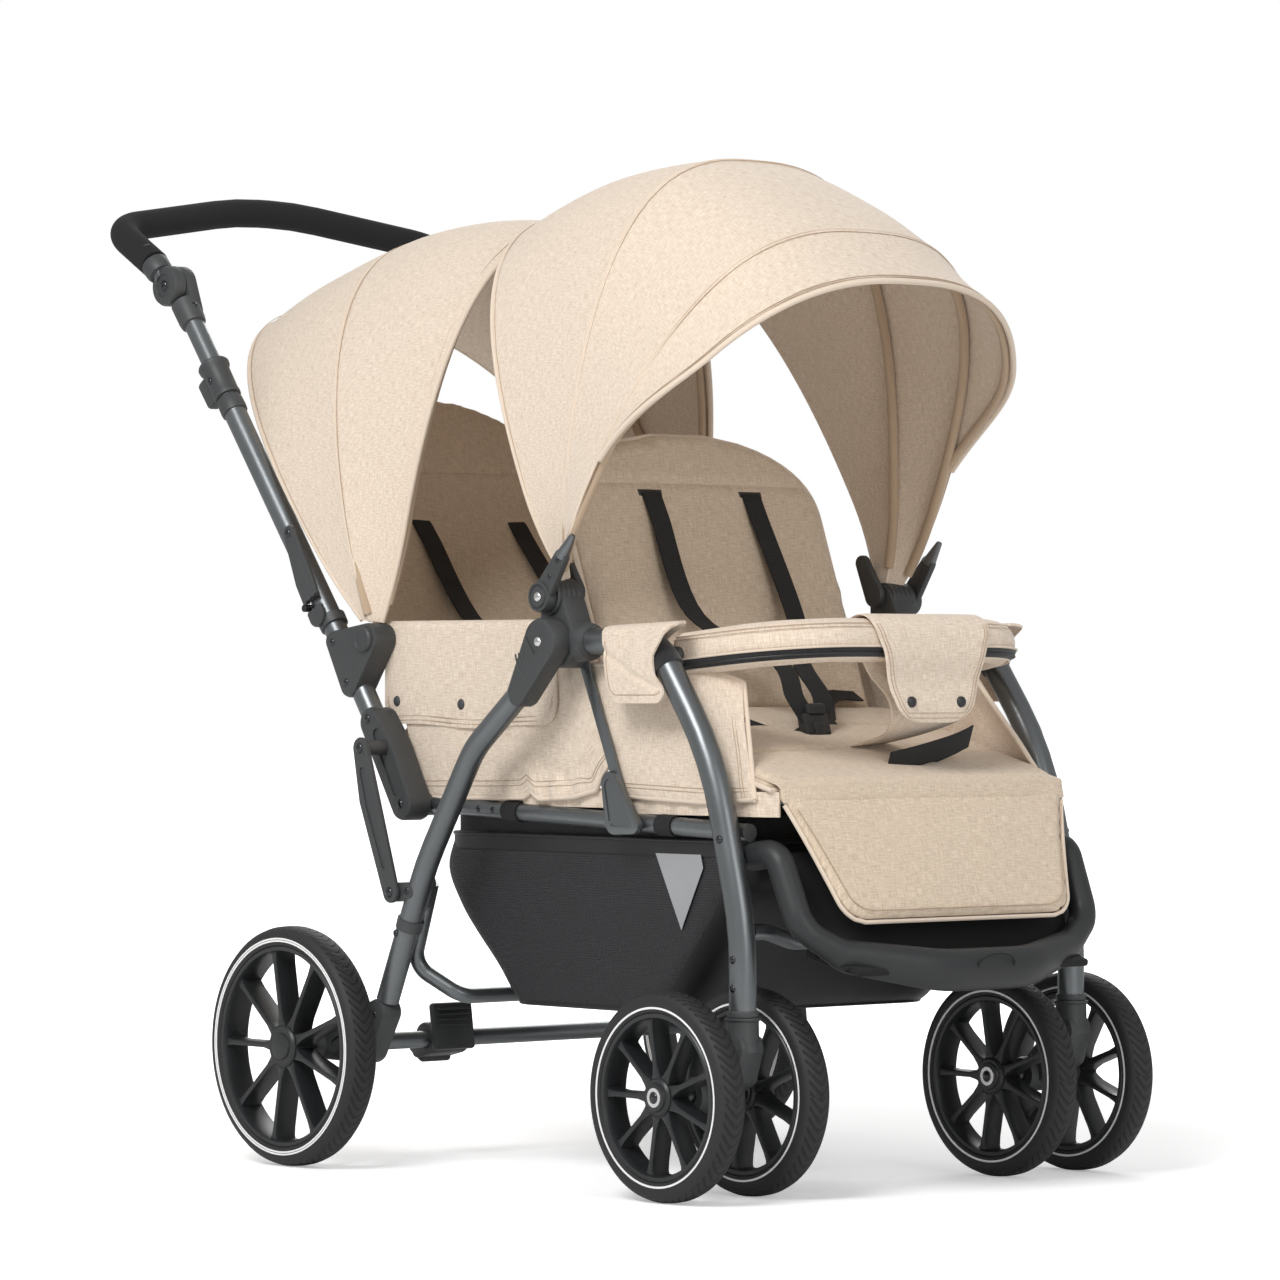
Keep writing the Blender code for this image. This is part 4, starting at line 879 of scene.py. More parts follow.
def rear_leg(side, letter):
    x = side * REAR_LEG_X
    outer = side * (REAR_LEG_X + REAR_LEG_RADIUS)
    corners = [at((HUB[0] + 0.030, HUB[1] - 0.042), x), at(REAR_LEG_SHOULDER, x)]
    corners += [at(REAR_LEG_KNEE, x), at(REAR_LEG_END, x)]
    leg = finished(
        tube(bent_path(corners, (0.10, 0.30)), REAR_LEG_RADIUS, 28), "rear_tube_" + letter, "metal",
        "rear_frame",
    )
    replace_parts(leg, "rear_leg_" + letter)
    skirt = [(*HUB, 0.0240), (-0.334, 0.511, 0.0172), (-0.322, 0.494, 0.0142)]
    shell = plate(band_outline(skirt), side * (REAR_LEG_X - 0.0117), side * (REAR_LEG_X + 0.0124), 0.0045)
    diamond = [(-0.352, 0.572), (-0.337, 0.552), (-0.352, 0.532), (-0.367, 0.552)]
    boolean(shell, plate(diamond, outer - side * 0.0006, outer + side * 0.01, 0), "DIFFERENCE")
    finished(shell, "rear_socket_" + letter, "plastic", "rear_frame")
    ribs = []
    for reach in (0.026, 0.031, 0.036):
        turns = [math.radians(d) for d in range(-50, -9, 8)]
        spots = [(HUB[0] + reach * math.cos(a), HUB[1] - 0.006 + reach * math.sin(a)) for a in turns]
        ribs.append(tube([at(spot, outer) for spot in spots], 0.0009, 8))
    finished(joined(ribs), "socket_ribs_" + letter, "plastic", "rear_frame")
    spots = [at(spot, outer) for spot in ((-0.1295, 0.246), (-0.148, 0.290))]
    rivets("rear_leg_rivets_" + letter, spots, (side, 0, 0), 0.0038, "rear_frame")
    lobes = band_outline([(*LINK_BOTTOM, 0.010), (-0.148, 0.290, 0.009)])
    lug = plate(lobes, side * REAR_LEG_X, side * (REAR_LEG_X + 0.0124), 0.0015)
    finished(lug, "link_lug_" + letter, "plastic", "rear_frame")
    low = at((-0.135, 0.249), x)
    profile = [(0.0118, 0), (0.0138, 0.001), (0.0142, 0.012), (0.0118, 0.013)]
    finished(
        spun(profile, low, at(REAR_LEG_KNEE, x) - low, 32), "leg_band_" + letter, "plastic", "rear_frame"
    )


both(rear_leg)


# %% Rear arms
def rear_arm(side, letter):
    down = (Vector(REAR_LEG_END) - Vector(REAR_LEG_KNEE)).normalized()
    cup = Vector(REAR_LEG_END) + down * 0.0138
    mould = band_outline([(*cup, 0.0140), (-0.070, 0.127, 0.018), (0.0, REAR_WHEEL_RADIUS, 0.015)])
    shell = plate(mould, side * (REAR_LEG_X - 0.013), side * (REAR_LEG_X + 0.013), 0.0035)
    pocket = band_outline([(-0.074, 0.146, 0.008), (-0.066, 0.126, 0.0095), (-0.030, 0.125, 0.0085)])
    hollow = plate(pocket, side * (REAR_LEG_X + 0.0108), side * (REAR_LEG_X + 0.02), 0)
    boolean(shell, hollow, "DIFFERENCE")
    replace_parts(finished(shell, "wheel_arm_" + letter, "plastic", "rear_frame"), "rear_arm_" + letter)
    hub_face = REAR_WHEEL_X - REAR_TYRE_HALF * RIM_SHARE
    boss = spun(
        [(0, 0), (0.0148, 0), (0.0135, 0.006), (0.0110, 0.012), (0, 0.012)],
        at((0, REAR_WHEEL_RADIUS), side * (REAR_LEG_X + 0.0125)), (side, 0, 0), 40,
    )
    finished(boss, "axle_boss_" + letter, "plastic", "rear_frame")
    stub = rod(
        at((0, REAR_WHEEL_RADIUS), side * REAR_LEG_X), at((0, REAR_WHEEL_RADIUS), side * hub_face), 0.0095
    )
    finished(stub, "axle_stub_" + letter, "rivet", "rear_frame")
    spots = [
        at((-0.0705, 0.127), side * (REAR_LEG_X + 0.0106)),
        at((cup[0] + 0.002, cup[1] - 0.002), side * (REAR_LEG_X + 0.0128)),
    ]
    rivets("arm_screws_" + letter, spots, (side, 0, 0), 0.0046, "rear_frame")


both(rear_arm)


# %% Cross tubes
def cross_members():
    reach = REAR_LEG_X - REAR_LEG_RADIUS - 0.0013
    cross = finished(
        rod(at(REAR_CROSS, -reach), at(REAR_CROSS, reach), 0.009, 40), "cross_tube", "metal", "rear_frame"
    )
    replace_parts(cross, "rear_axle")
    for side, letter in SIDES:
        start = at(REAR_CROSS, side * (reach - 0.001))
        clamp = spun(
            [(0.0088, 0), (0.0145, 0.0005), (0.0150, 0.010), (0.0135, 0.022), (0.0088, 0.023)], start,
            (-side, 0, 0), 40,
        )
        finished(clamp, "cross_clamp_" + letter, "plastic", "rear_frame")
        rivets(
            "clamp_screw_" + letter,
            [at((REAR_CROSS[0], REAR_CROSS[1] + 0.0142), side * (reach - 0.011))], (0, 0, 1), 0.0038,
            "rear_frame",
        )
    u_x = REAR_LEG_X - REAR_LEG_RADIUS - 0.0083
    half = [((-0.148, 0.297), u_x), ((-0.118, 0.212), u_x), ((-0.160, 0.180), u_x - 0.030)]
    corners = [at(spot, -x) for spot, x in half] + [at(spot, x) for spot, x in half[::-1]]
    bar = finished(
        tube(bent_path(corners, (0.025, 0.025, 0.025, 0.025)), 0.008, 24), "u_tube", "metal", "rear_frame"
    )
    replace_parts(bar, "rear_u_bar")
    for side, letter in SIDES:
        end = plate(
            band_outline([(-0.148, 0.297, 0.0095), (-0.141, 0.276, 0.008)]), side * (u_x + 0.001),
            side * (u_x + 0.0078), 0.001,
        )
        finished(end, "u_tube_end_" + letter, "metal", "rear_frame")
        rivets(
            "u_tube_rivet_" + letter, [at((-0.148, 0.297), side * (u_x + 0.001))], (-side, 0, 0),
            0.0042, "rear_frame",
        )


cross_members()


# %% Brake pedal
def pedal():
    y, z = REAR_CROSS
    x_inner, x_outer = -0.104, -0.148
    middle_x = (x_inner + x_outer) / 2
    lobes = [(y - 0.008, z - 0.003, 0.0125), (y + 0.004, z + 0.004, 0.0135), (y + 0.016, z - 0.012, 0.009)]
    body = plate(band_outline(lobes), x_inner, x_outer, 0.003)
    core = rod(at(REAR_CROSS, x_inner + 0.01), at(REAR_CROSS, x_outer - 0.01), 0.0094, 40, 0)
    boolean(body, core, "DIFFERENCE")
    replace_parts(finished(body, "brake_saddle", "dark", "brake_pedal"), "brake_pedal")
    tilt = math.radians(-8)
    upper = block((0.054, 0.009, 0.050), at((y - 0.0175, z + 0.014), middle_x), tilt, 0.0035)
    lower = block(
        (0.040, 0.008, 0.026), at((y + 0.022, z - 0.016), middle_x + 0.002), math.radians(-58), 0.003
    )
    ribs = []
    for i in range(4):
        rib = block(
            (0.046, 0.002, 0.0022), at((y - 0.0212, z + 0.016 + i * 0.0055), middle_x), tilt, 0.0006
        )
        ribs.append(rib)
    finished(joined([upper, lower, *ribs]), "brake_paddles", "dark", "brake_pedal")
    spots = [at((y - 0.0222, z - 0.003), middle_x + shift) for shift in (-0.012, 0.012)]
    rivets("brake_screws", spots, (0, -1, 0.1), 0.0036, "brake_pedal", "steel")


pedal()


# %% [markdown]
# The push tubes stand in moulded feet that turn on the side rails. Each carries the clamp of the
# rear hood, a release sleeve that slides on the thinner upper tube, and a disc joint on top.

# %% Push tubes and their mouldings
PUSH_ELBOW = (0.000, 0.530)
COLLAR_SHARE = 0.69
PUSH_COLLAR = tuple(a + (b - a) * COLLAR_SHARE for a, b in zip(PUSH_ELBOW, HANDLE_PIVOT))
ALONG_PUSH = (at(HANDLE_PIVOT) - at(PUSH_COLLAR)).normalized()
PUSH_RADIUS, UPPER_RADIUS, SLEEVE_WALL = 0.0125, 0.011, 0.0028
MOULD_INNER = INNER_X + 0.0005
MOULD_OUTER = PUSH_X + PUSH_RADIUS + SLEEVE_WALL
DISC_RADIUS_TOP = 0.022
JOINT_SHIFT = 0.002
LINK_X = REAR_LEG_X + REAR_LEG_RADIUS + 0.001


def push_tube(side, letter):
    x = side * PUSH_X
    up = (at(PUSH_ELBOW) - at(FOLD_PIVOT)).normalized()
    path = bent_path([at(FOLD_PIVOT, x) + up * 0.020, at(PUSH_ELBOW, x), at(PUSH_COLLAR, x)], (0.30,))
    lower = finished(tube(path, PUSH_RADIUS, 28), "push_lower_" + letter, "metal", "push_frame")
    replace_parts(lower, "push_tube_" + letter)
    neck = at(HANDLE_PIVOT, x) - ALONG_PUSH * (DISC_RADIUS_TOP + 0.0015)
    finished(
        tube([at(PUSH_COLLAR, x) - ALONG_PUSH * 0.02, neck], UPPER_RADIUS, 28), "push_upper_" + letter,
        "metal", "push_frame",
    )
    collar = [
        (0.0115, 0), (0.0142, 0.0006), (0.0146, 0.004), (0.0142, 0.016), (0.0128, 0.020), (0.0115, 0.020)
    ]
    finished(
        spun(collar, at(PUSH_COLLAR, x) - ALONG_PUSH * 0.0205, ALONG_PUSH, 40), "push_collar_" + letter,
        "plastic", "push_frame",
    )
    socket = [(0.0108, 0), (0.0138, 0.0008), (0.0148, 0.006), (0.0150, 0.030), (0.0108, 0.031)]
    finished(
        spun(socket, neck - ALONG_PUSH * 0.031, ALONG_PUSH, 40), "knuckle_socket_" + letter, "plastic",
        "push_frame",
    )
    below = at(HANDLE_PIVOT) - ALONG_PUSH * 0.036
    band = band_outline([(*HANDLE_PIVOT, DISC_RADIUS_TOP), (below.y - AXLE_Y, below.z, 0.012)])
    finished(
        plate(band, side * (PUSH_X - 0.013), side * (PUSH_X + JOINT_SHIFT), 0.003), "knuckle_" + letter,
        "plastic", "push_frame",
    )
    cap = [(0, 0), (0.0165, 0), (0.0160, 0.0022), (0.0120, 0.0034), (0.0105, 0.0022), (0, 0.0022)]
    finished(
        spun(cap, at(HANDLE_PIVOT, side * (PUSH_X - 0.0128)), (-side, 0, 0), 40),
        "knuckle_cap_" + letter, "plastic", "push_frame",
    )
    front = Vector((0, -ALONG_PUSH.z, ALONG_PUSH.y))
    rivets(
        "knuckle_rivet_" + letter, [neck - ALONG_PUSH * 0.014 + front * 0.0142], front, 0.0036, "push_frame"
    )


both(push_tube)


# %% Push feet
def push_foot(side, letter):
    outer = side * MOULD_OUTER
    shell = plate(
        band_outline([(*FOLD_PIVOT, 0.017), (-0.052, 0.462, 0.016), (*LINK_TOP, 0.013)]),
        side * MOULD_INNER, outer, 0.0045,
    )
    groove = band_outline([(-0.098, 0.392, 0.006), (-0.066, 0.450, 0.006)])
    boolean(
        shell, plate(groove, side * (MOULD_OUTER - 0.0016), side * (MOULD_OUTER + 0.01), 0), "DIFFERENCE"
    )
    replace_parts(finished(shell, "foot_shell_" + letter, "plastic", "push_frame"), "push_foot_" + letter)
    boss = rod(at(LINK_TOP, side * (MOULD_OUTER - 0.002)), at(LINK_TOP, side * (LINK_X - CLEARANCE)), 0.008)
    finished(boss, "link_boss_" + letter, "plastic", "push_frame")
    rivets(
        "foot_rivets_" + letter,
        [at(FOLD_PIVOT, outer - side * 0.0004), at((-0.050, 0.466), outer - side * 0.0004)],
        (side, 0, 0), 0.0050, "push_frame",
    )


both(push_foot)


# %% Hood clamps
def hood_clamp(side, letter):
    outer = side * MOULD_OUTER
    lobes = [(0.012, 0.547, 0.011), (*REAR_CANOPY_PIVOT, 0.017), (-0.016, 0.502, 0.014)]
    shell = plate(band_outline(lobes), side * MOULD_INNER, outer, 0.0045)
    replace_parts(finished(shell, "clamp_shell_" + letter, "plastic", "push_frame"), "hood_bracket_" + letter)
    spots = [at(spot, outer - side * 0.0004) for spot in ((0.010, 0.546), (-0.014, 0.504), (-0.046, 0.556))]
    rivets("clamp_rivets_" + letter, spots, (side, 0, 0), 0.0042, "push_frame")
    knob = [(0, -0.004), (0.0125, -0.004), (0.0128, 0.003), (0.0112, 0.0050), (0.0100, 0.0042), (0, 0.0042)]
    finished(
        spun(knob, at(REAR_CANOPY_PIVOT, outer), (side, 0, 0), 44), "hood_knob_" + letter, "plastic",
        "push_frame",
    )
    up = (at(PUSH_COLLAR) - at(PUSH_ELBOW)).normalized()
    clip = [(0.0128, 0), (0.0152, 0.001), (0.0156, 0.012), (0.0128, 0.013)]
    finished(
        spun(clip, at((0.024, 0.562), side * PUSH_X), up, 36), "clamp_clip_" + letter, "plastic",
        "push_frame",
    )


both(hood_clamp)


# %% Release sleeves
def release_sleeve(side, letter):
    low = at(PUSH_COLLAR, side * PUSH_X) + ALONG_PUSH * 0.0006
    profile = [
        (0.0113, 0), (0.0150, 0.0008), (0.0153, 0.004), (0.0146, 0.008), (0.0150, 0.036),
        (0.0172, 0.040), (0.0176, 0.044), (0.0165, 0.046), (0.0113, 0.046),
    ]
    sleeve = spun(profile, low, ALONG_PUSH, 44)
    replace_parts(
        finished(sleeve, "sleeve_" + letter, "plastic", "release_sleeve_" + letter),
        "release_sleeve_" + letter,
    )
    behind = Vector((0, ALONG_PUSH.z, -ALONG_PUSH.y))
    centre = low + ALONG_PUSH * 0.023
    tab = block((0.016, 0.018, 0.034), centre + behind * 0.020, math.radians(-38), 0.004)
    finished(tab, "sleeve_tab_" + letter, "plastic", "release_sleeve_" + letter)
    rivets(
        "sleeve_rivet_" + letter, [centre + Vector((side * 0.0148, 0, 0))], (side, 0, 0), 0.0038,
        "release_sleeve_" + letter,
    )


both(release_sleeve)


# %% Fold links
def fold_link(side, letter):
    outline = band_outline([(*LINK_TOP, 0.011), (-0.090, 0.384, 0.014), (*LINK_BOTTOM, 0.011)])
    bar = plate(outline, side * LINK_X, side * (LINK_X + 0.006), 0.0015)
    inner_line = band_outline([(-0.082, 0.412, 0.0045), (-0.094, 0.378, 0.0065), (-0.118, 0.315, 0.0035)])
    boolean(bar, plate(inner_line, side * (LINK_X + 0.0048), side * (LINK_X + 0.02), 0), "DIFFERENCE")
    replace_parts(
        finished(bar, "link_bar_" + letter, "plastic", "fold_link_" + letter), "fold_link_" + letter
    )
    spots = [at(spot, side * (LINK_X + 0.0058)) for spot in (LINK_TOP, LINK_BOTTOM)]
    rivets("link_rivets_" + letter, spots, (side, 0, 0), 0.0056, "fold_link_" + letter)


both(fold_link)


# %% [markdown]
# The padded handle is one bent bar between two tilting joints, so one swept tube makes its grip. The
# storage catch is a small lever beside the left push tube: a plate with a slot cut for its peg.

# %% Handle
HANDLE_REST = math.radians(44)
HANDLE_RISE = Vector((0, math.cos(HANDLE_REST), math.sin(HANDLE_REST)))
GRIP_RADIUS = 0.016
HANDLE_INNER = PUSH_X + JOINT_SHIFT + CLEARANCE
HANDLE_NECK_X = HANDLE_INNER + 0.008


def handle():
    corner, crest = (0.422, 1.006), (0.450, 1.036)
    path = bent_path(
        [
            at(HANDLE_PIVOT, -HANDLE_NECK_X) + HANDLE_RISE * 0.036,
            at(corner, -PUSH_X),
            at(crest, -0.040),
            at(crest, 0.040),
            at(corner, PUSH_X),
            at(HANDLE_PIVOT, HANDLE_NECK_X) + HANDLE_RISE * 0.036,
        ],
        (0.050, 0.30, 0.30, 0.050),
    )
    grip = tube(path, GRIP_RADIUS, 32)
    rounded_edges(grip, 0.004, 3, math.radians(60))
    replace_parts(finished(grip, "grip_foam", "foam", "handle"), "handle_bar")
    for side, letter in SIDES:
        hinge = at(HANDLE_PIVOT, side * HANDLE_INNER)
        disc = [
            (0, 0), (0.0215, 0), (0.0222, 0.001), (0.0222, 0.0115), (0.0205, 0.0148), (0.0150, 0.0160),
            (0.0128, 0.0160), (0.0120, 0.0146), (0, 0.0146),
        ]
        finished(spun(disc, hinge, (side, 0, 0), 56), "handle_disc_" + letter, "plastic", "handle")
        start = at(HANDLE_PIVOT, side * HANDLE_NECK_X)
        finished(
            rod(start + HANDLE_RISE * 0.012, start + HANDLE_RISE * 0.060, 0.0095),
            "handle_neck_" + letter, "metal", "handle",
        )
        collar = [
            (0.009, 0), (0.0135, 0.001), (0.0150, 0.005), (0.0155, 0.016), (0.0150, 0.018), (0.009, 0.018)
        ]
        finished(
            spun(collar, start + HANDLE_RISE * 0.0185, HANDLE_RISE, 40), "handle_collar_" + letter,
            "plastic", "handle",
        )
        rivets(
            "handle_screw_" + letter, [hinge + Vector((side * 0.0144, 0, 0))], (side, 0, 0), 0.0062,
            "handle",
        )


handle()


# %% Storage catch
def storage_catch():
    inner = -(PUSH_X + PUSH_RADIUS + CLEARANCE)
    outline = band_outline([(*HOOK_PIVOT, 0.0085), (0.056, 0.612, 0.014), (0.034, 0.574, 0.012)])
    blade = plate(outline, inner, inner - 0.006, 0.0018)
    for spot in ((0.052, 0.580), (0.0447, 0.5845), (0.0380, 0.5885), (0.0310, 0.5925)):
        boolean(blade, rod(at(spot, inner + 0.01), at(spot, inner - 0.02), 0.0065, 32, 0), "DIFFERENCE")
    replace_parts(finished(blade, "catch_blade", "plastic", "storage_hook"), "storage_hook")
    rivets("catch_rivet", [at(HOOK_PIVOT, inner - 0.0058)], (-1, 0, 0), 0.0048, "storage_hook")
    peg = rod(at((0.050, 0.582), -PUSH_X), at((0.050, 0.582), inner - 0.009), 0.0040)
    finished(peg, "catch_peg", "rivet", "push_frame")


storage_catch()


# %% [markdown]
# ## Wheels
# Each wheel is a moulded rim with nine blade spokes and a foam-filled tyre with a painted line.
# One wheel of each size is modelled; the others are copies moved into place.

# %% Rims and tyres
SPOKES = 9


def spoke_outline(centre, angle, hub_radius, rim_radius):
    """A blade that widens into the hub and into the rim."""
    stations = ((hub_radius - 0.003, 0.0075), (hub_radius + 0.004, 0.0048), (hub_radius + 0.013, 0.0030))
    stations += ((rim_radius - 0.018, 0.0028), (rim_radius - 0.009, 0.0038), (rim_radius - 0.0035, 0.0070))
    ring = [(r, -w) for r, w in stations] + [(r, w) for r, w in reversed(stations)]
    c, s = math.cos(angle), math.sin(angle)
    return [(centre[0] + r * c - w * s, centre[1] + r * s + w * c) for r, w in ring]


def rim(centre, x, out, rim_radius, half, hub_radius):
    """A barrel rim, a hub with a cap on each face, and spokes between them."""
    wall = [
        (rim_radius + 0.0004, -half), (rim_radius - 0.001, -half - 0.0012),
        (rim_radius - 0.0045, -half - 0.0008),
    ]
    wall += [(rim_radius - 0.0062, -half + 0.003), (rim_radius - 0.0066, 0)]
    profile = wall + [(r, -a) for r, a in reversed(wall[:-1])]
    pieces = [spun(profile, at(centre, x), (out, 0, 0), 72)]
    top = half + 0.0006
    face = [(hub_radius, top - 0.002), (hub_radius - 0.002, top), (0.0142, top)]
    face += [(0.0135, top + 0.0016), (0.0120, top + 0.0020), (0, top + 0.0020)]
    hub = [(r, -a) for r, a in reversed(face)] + face
    pieces.append(spun(hub, at(centre, x), (out, 0, 0), 48))
    for k in range(SPOKES):
        outline = spoke_outline(centre, 2 * math.pi * k / SPOKES, hub_radius, rim_radius)
        depth = out * (half - 0.0025)
        pieces.append(plate(outline, x - depth, x + depth, 0.0012))
    return joined(pieces)


def tread_map(obj, centre, x, radius):
    """Tread coordinates: metres round the tyre, and metres out from its middle plane."""
    layer = obj.data.uv_layers.new(name="tread")
    hub_place = at(centre, x)
    for face in obj.data.polygons:
        first = None
        for index in face.loop_indices:
            spot = obj.data.vertices[obj.data.loops[index].vertex_index].co - hub_place
            angle = math.atan2(spot.z, spot.y)
            if first is None:
                first = angle
            angle += 2 * math.pi * round((first - angle) / (2 * math.pi))
            layer.data[index].uv = (angle * radius, spot.x)
    return obj


def tyre(centre, x, out, radius, seat, half):
    flank = [(seat - 0.0004, -half * 0.80), (seat + 0.0010, -half * 0.92), (seat + 0.005, -half * 0.995)]
    flank += [(radius - 0.0090, -half), (radius - 0.0050, -half * 0.90)]
    flank += [(radius - 0.0020, -half * 0.70), (radius - 0.0004, -half * 0.42)]
    profile = flank + [(radius, 0)] + [(r, -a) for r, a in reversed(flank)]
    return tread_map(spun(profile, at(centre, x), (out, 0, 0), 96), centre, x, radius)


def painted_lines(centre, x, radii, half):
    """Thin painted rings on both flanks of a tyre."""
    rings = []
    for face in (-1, 1):
        for radius, width in radii:
            ring = [(radius - width, -0.0006), (radius - width, 0.0002), (radius, 0.0004)]
            ring += [(radius + width, 0.0002), (radius + width, -0.0006)]
            rings.append(spun(ring, at(centre, x + face * half * 0.996), (face, 0, 0), 96))
    return joined(rings)


def moved_copy(source, shift):
    pick(source)
    bpy.ops.object.duplicate(linked=False)
    copy = bpy.context.active_object
    copy.data.transform(Matrix.Translation(shift))
    return copy


def wheel_family(kind, tags, centre, first_x, radius, seat, half, hub_radius, lines):
    """Builds the wheel of the first tag, facing -X, and copies it for the other tags."""
    out = -1
    patterns = {
        "rim": (rim(centre, first_x, out, seat, half * RIM_SHARE, hub_radius), "wheel"),
        "tyre": (tyre(centre, first_x, out, radius, seat, half), "rubber"),
        "line": (painted_lines(centre, first_x, lines, half), "white_line"),
    }
    for tag, x in tags:
        body = f"{kind}_wheel_{tag}"
        for part, (pattern, look) in patterns.items():
            copy = moved_copy(pattern, Vector((x - first_x, 0, 0)))
            piece = finished(copy, f"{kind}_{part}_{tag}_smooth", look, body)
            if part != "line":
                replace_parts(piece, f"{kind}_{part}_{tag}")
    for pattern, _ in patterns.values():
        bpy.data.objects.remove(pattern, do_unlink=True)


wheel_family(
    "rear",
    (("L", -REAR_WHEEL_X), ("R", REAR_WHEEL_X)),
    (0.0, REAR_WHEEL_RADIUS),
    -REAR_WHEEL_X,
    REAR_WHEEL_RADIUS,
    seat=0.1045,
    half=REAR_TYRE_HALF,
    hub_radius=0.022,
    lines=((0.1098, 0.0009), (0.1122, 0.0009)),
)
TWIN = 0.055
FRONT_WHEEL_RADIUS = CASTER_AXLE[1]
FRONT_TAGS = tuple(
    (letter + which, side * (LEG_X + shift))
    for side, letter in SIDES
    for which, shift in (("_outer", TWIN), ("_inner", -TWIN))
)
wheel_family(
    "front",
    FRONT_TAGS,
    CASTER_AXLE,
    -LEG_X - TWIN,
    FRONT_WHEEL_RADIUS,
    seat=0.082,
    half=FRONT_TYRE_HALF,
    hub_radius=0.019,
    lines=((0.0868, 0.0010),),
)
for tag, x in FRONT_TAGS:
    way = math.copysign(1, x) * (1 if "outer" in tag else -1)
    face = at(CASTER_AXLE, x + way * 0.0158)
    ring = spun([(0.0055, 0), (0.0098, 0), (0.0095, 0.0014), (0.0060, 0.0014)], face, (way, 0, 0), 40)
    finished(ring, "bearing_" + tag, "steel", "front_wheel_" + tag)
    rivets("wheel_bolt_" + tag, [face], (way, 0, 0), 0.0056, "front_wheel_" + tag)

# %% [markdown]
# The front wheels are twins on a caster. The neck turns in the leg's foot and the lock tab above
# the axle holds it straight.

# %% Casters


def caster(side, letter):
    x = side * LEG_X
    body = "caster_" + letter
    neck = [
        (0.004, 0), (0.0172, 0.0005), (0.0178, 0.006), (0.0162, 0.010), (0.0158, 0.030),
        (0.0176, 0.0322), (0.0176, 0.0340), (0.004, 0.0340),
    ]
    finished(spun(neck, at((CASTER_STEM_Y, 0.1457), x), (0, 0, 1), 48), "neck_" + letter, "plastic", body)
    lobes = [
        (CASTER_STEM_Y, 0.1497, 0.016), (*CASTER_AXLE, 0.0145),
        (CASTER_STEM_Y + 0.005, FRONT_WHEEL_RADIUS + 0.020, 0.012),
    ]
    arm = plate(band_outline(lobes), x - 0.015, x + 0.015, 0.004)
    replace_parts(finished(arm, "fork_block_" + letter, "plastic", body), "caster_fork_" + letter)
    face = TWIN - FRONT_TYRE_HALF * RIM_SHARE - 0.0030
    axle = rod(at(CASTER_AXLE, x - face), at(CASTER_AXLE, x + face), 0.008)
    finished(axle, "twin_axle_" + letter, "rivet", body)
    boss = [
        (0.004, -0.024), (0.0165, -0.0235), (0.0180, -0.019), (0.0180, 0.019), (0.0165, 0.0235),
        (0.004, 0.024),
    ]
    finished(spun(boss, at(CASTER_AXLE, x), (1, 0, 0), 48), "fork_boss_" + letter, "plastic", body)
    tab = [(*CASTER_LOCK, 0.006), (CASTER_LOCK[0] + 0.022, CASTER_LOCK[1] + 0.016, 0.004)]
    lever = plate(band_outline(tab), x - 0.012, x + 0.012, 0.0015)
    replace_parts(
        finished(lever, "lock_tab_" + letter, "plastic", "caster_lock_" + letter), "caster_lock_" + letter
    )


both(caster)


# %% Front cross bar and footrest
def low_bars():
    reach = LEG_X - LEG_RADIUS - CLEARANCE
    place, bow = (-0.614, 0.262), (-0.596, 0.250)
    half = [at(place, -reach), at(place, -reach + 0.02), at(bow, -reach + 0.07)]
    corners = half + [Vector((-spot.x, spot.y, spot.z)) for spot in reversed(half)]
    bar = tube(bent_path(corners, (0.04,) * 4), 0.008, 24)
    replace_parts(finished(bar, "low_cross_bar", "metal", "chassis"), "front_cross")
    arm_x = reach - 0.014
    half = [
        at((-0.600, 0.334), arm_x),
        at((-0.637, 0.340), arm_x),
        at((-0.668, 0.266), arm_x - 0.003),
        at((-0.684, 0.238), arm_x - 0.042),
        at((-0.721, 0.225), 0.060),
    ]
    corners = half + [Vector((-spot.x, spot.y, spot.z)) for spot in reversed(half)]
    radii = (0.02, 0.04, 0.04, 0.12)
    rail = tube(bent_path(corners, (*radii, *radii[::-1])), 0.014, 36)
    for vertex in rail.data.vertices:
        front = min(1.0, max(0.0, (0.262 - vertex.co.z) / 0.03)) * (
            1 - min(1.0, abs(vertex.co.x) / 0.22) ** 4
        )
        vertex.co.z += (vertex.co.z - 0.226) * 0.55 * front
    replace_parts(finished(rail, "footrest_bar", "dark", "chassis"), "footrest")
    floor = block((2 * arm_x - 0.080, 0.080, 0.008), at((-0.672, 0.232)), math.radians(12), 0.003)
    finished(floor, "footrest_floor", "foam", "chassis")

    ring = [
        Vector((0.0245 * math.cos(a), 0, 0.0105 * math.sin(a)))
        for a in (math.pi * k / 24 for k in range(49))
    ]
    spots = [at((-0.7352 - 0.35 * spot.z, 0.2285 + spot.z), spot.x + 0.004) for spot in ring]
    finished(tube(spots, 0.0008, 8), "footrest_plain_oval", "foam", "chassis")


low_bars()
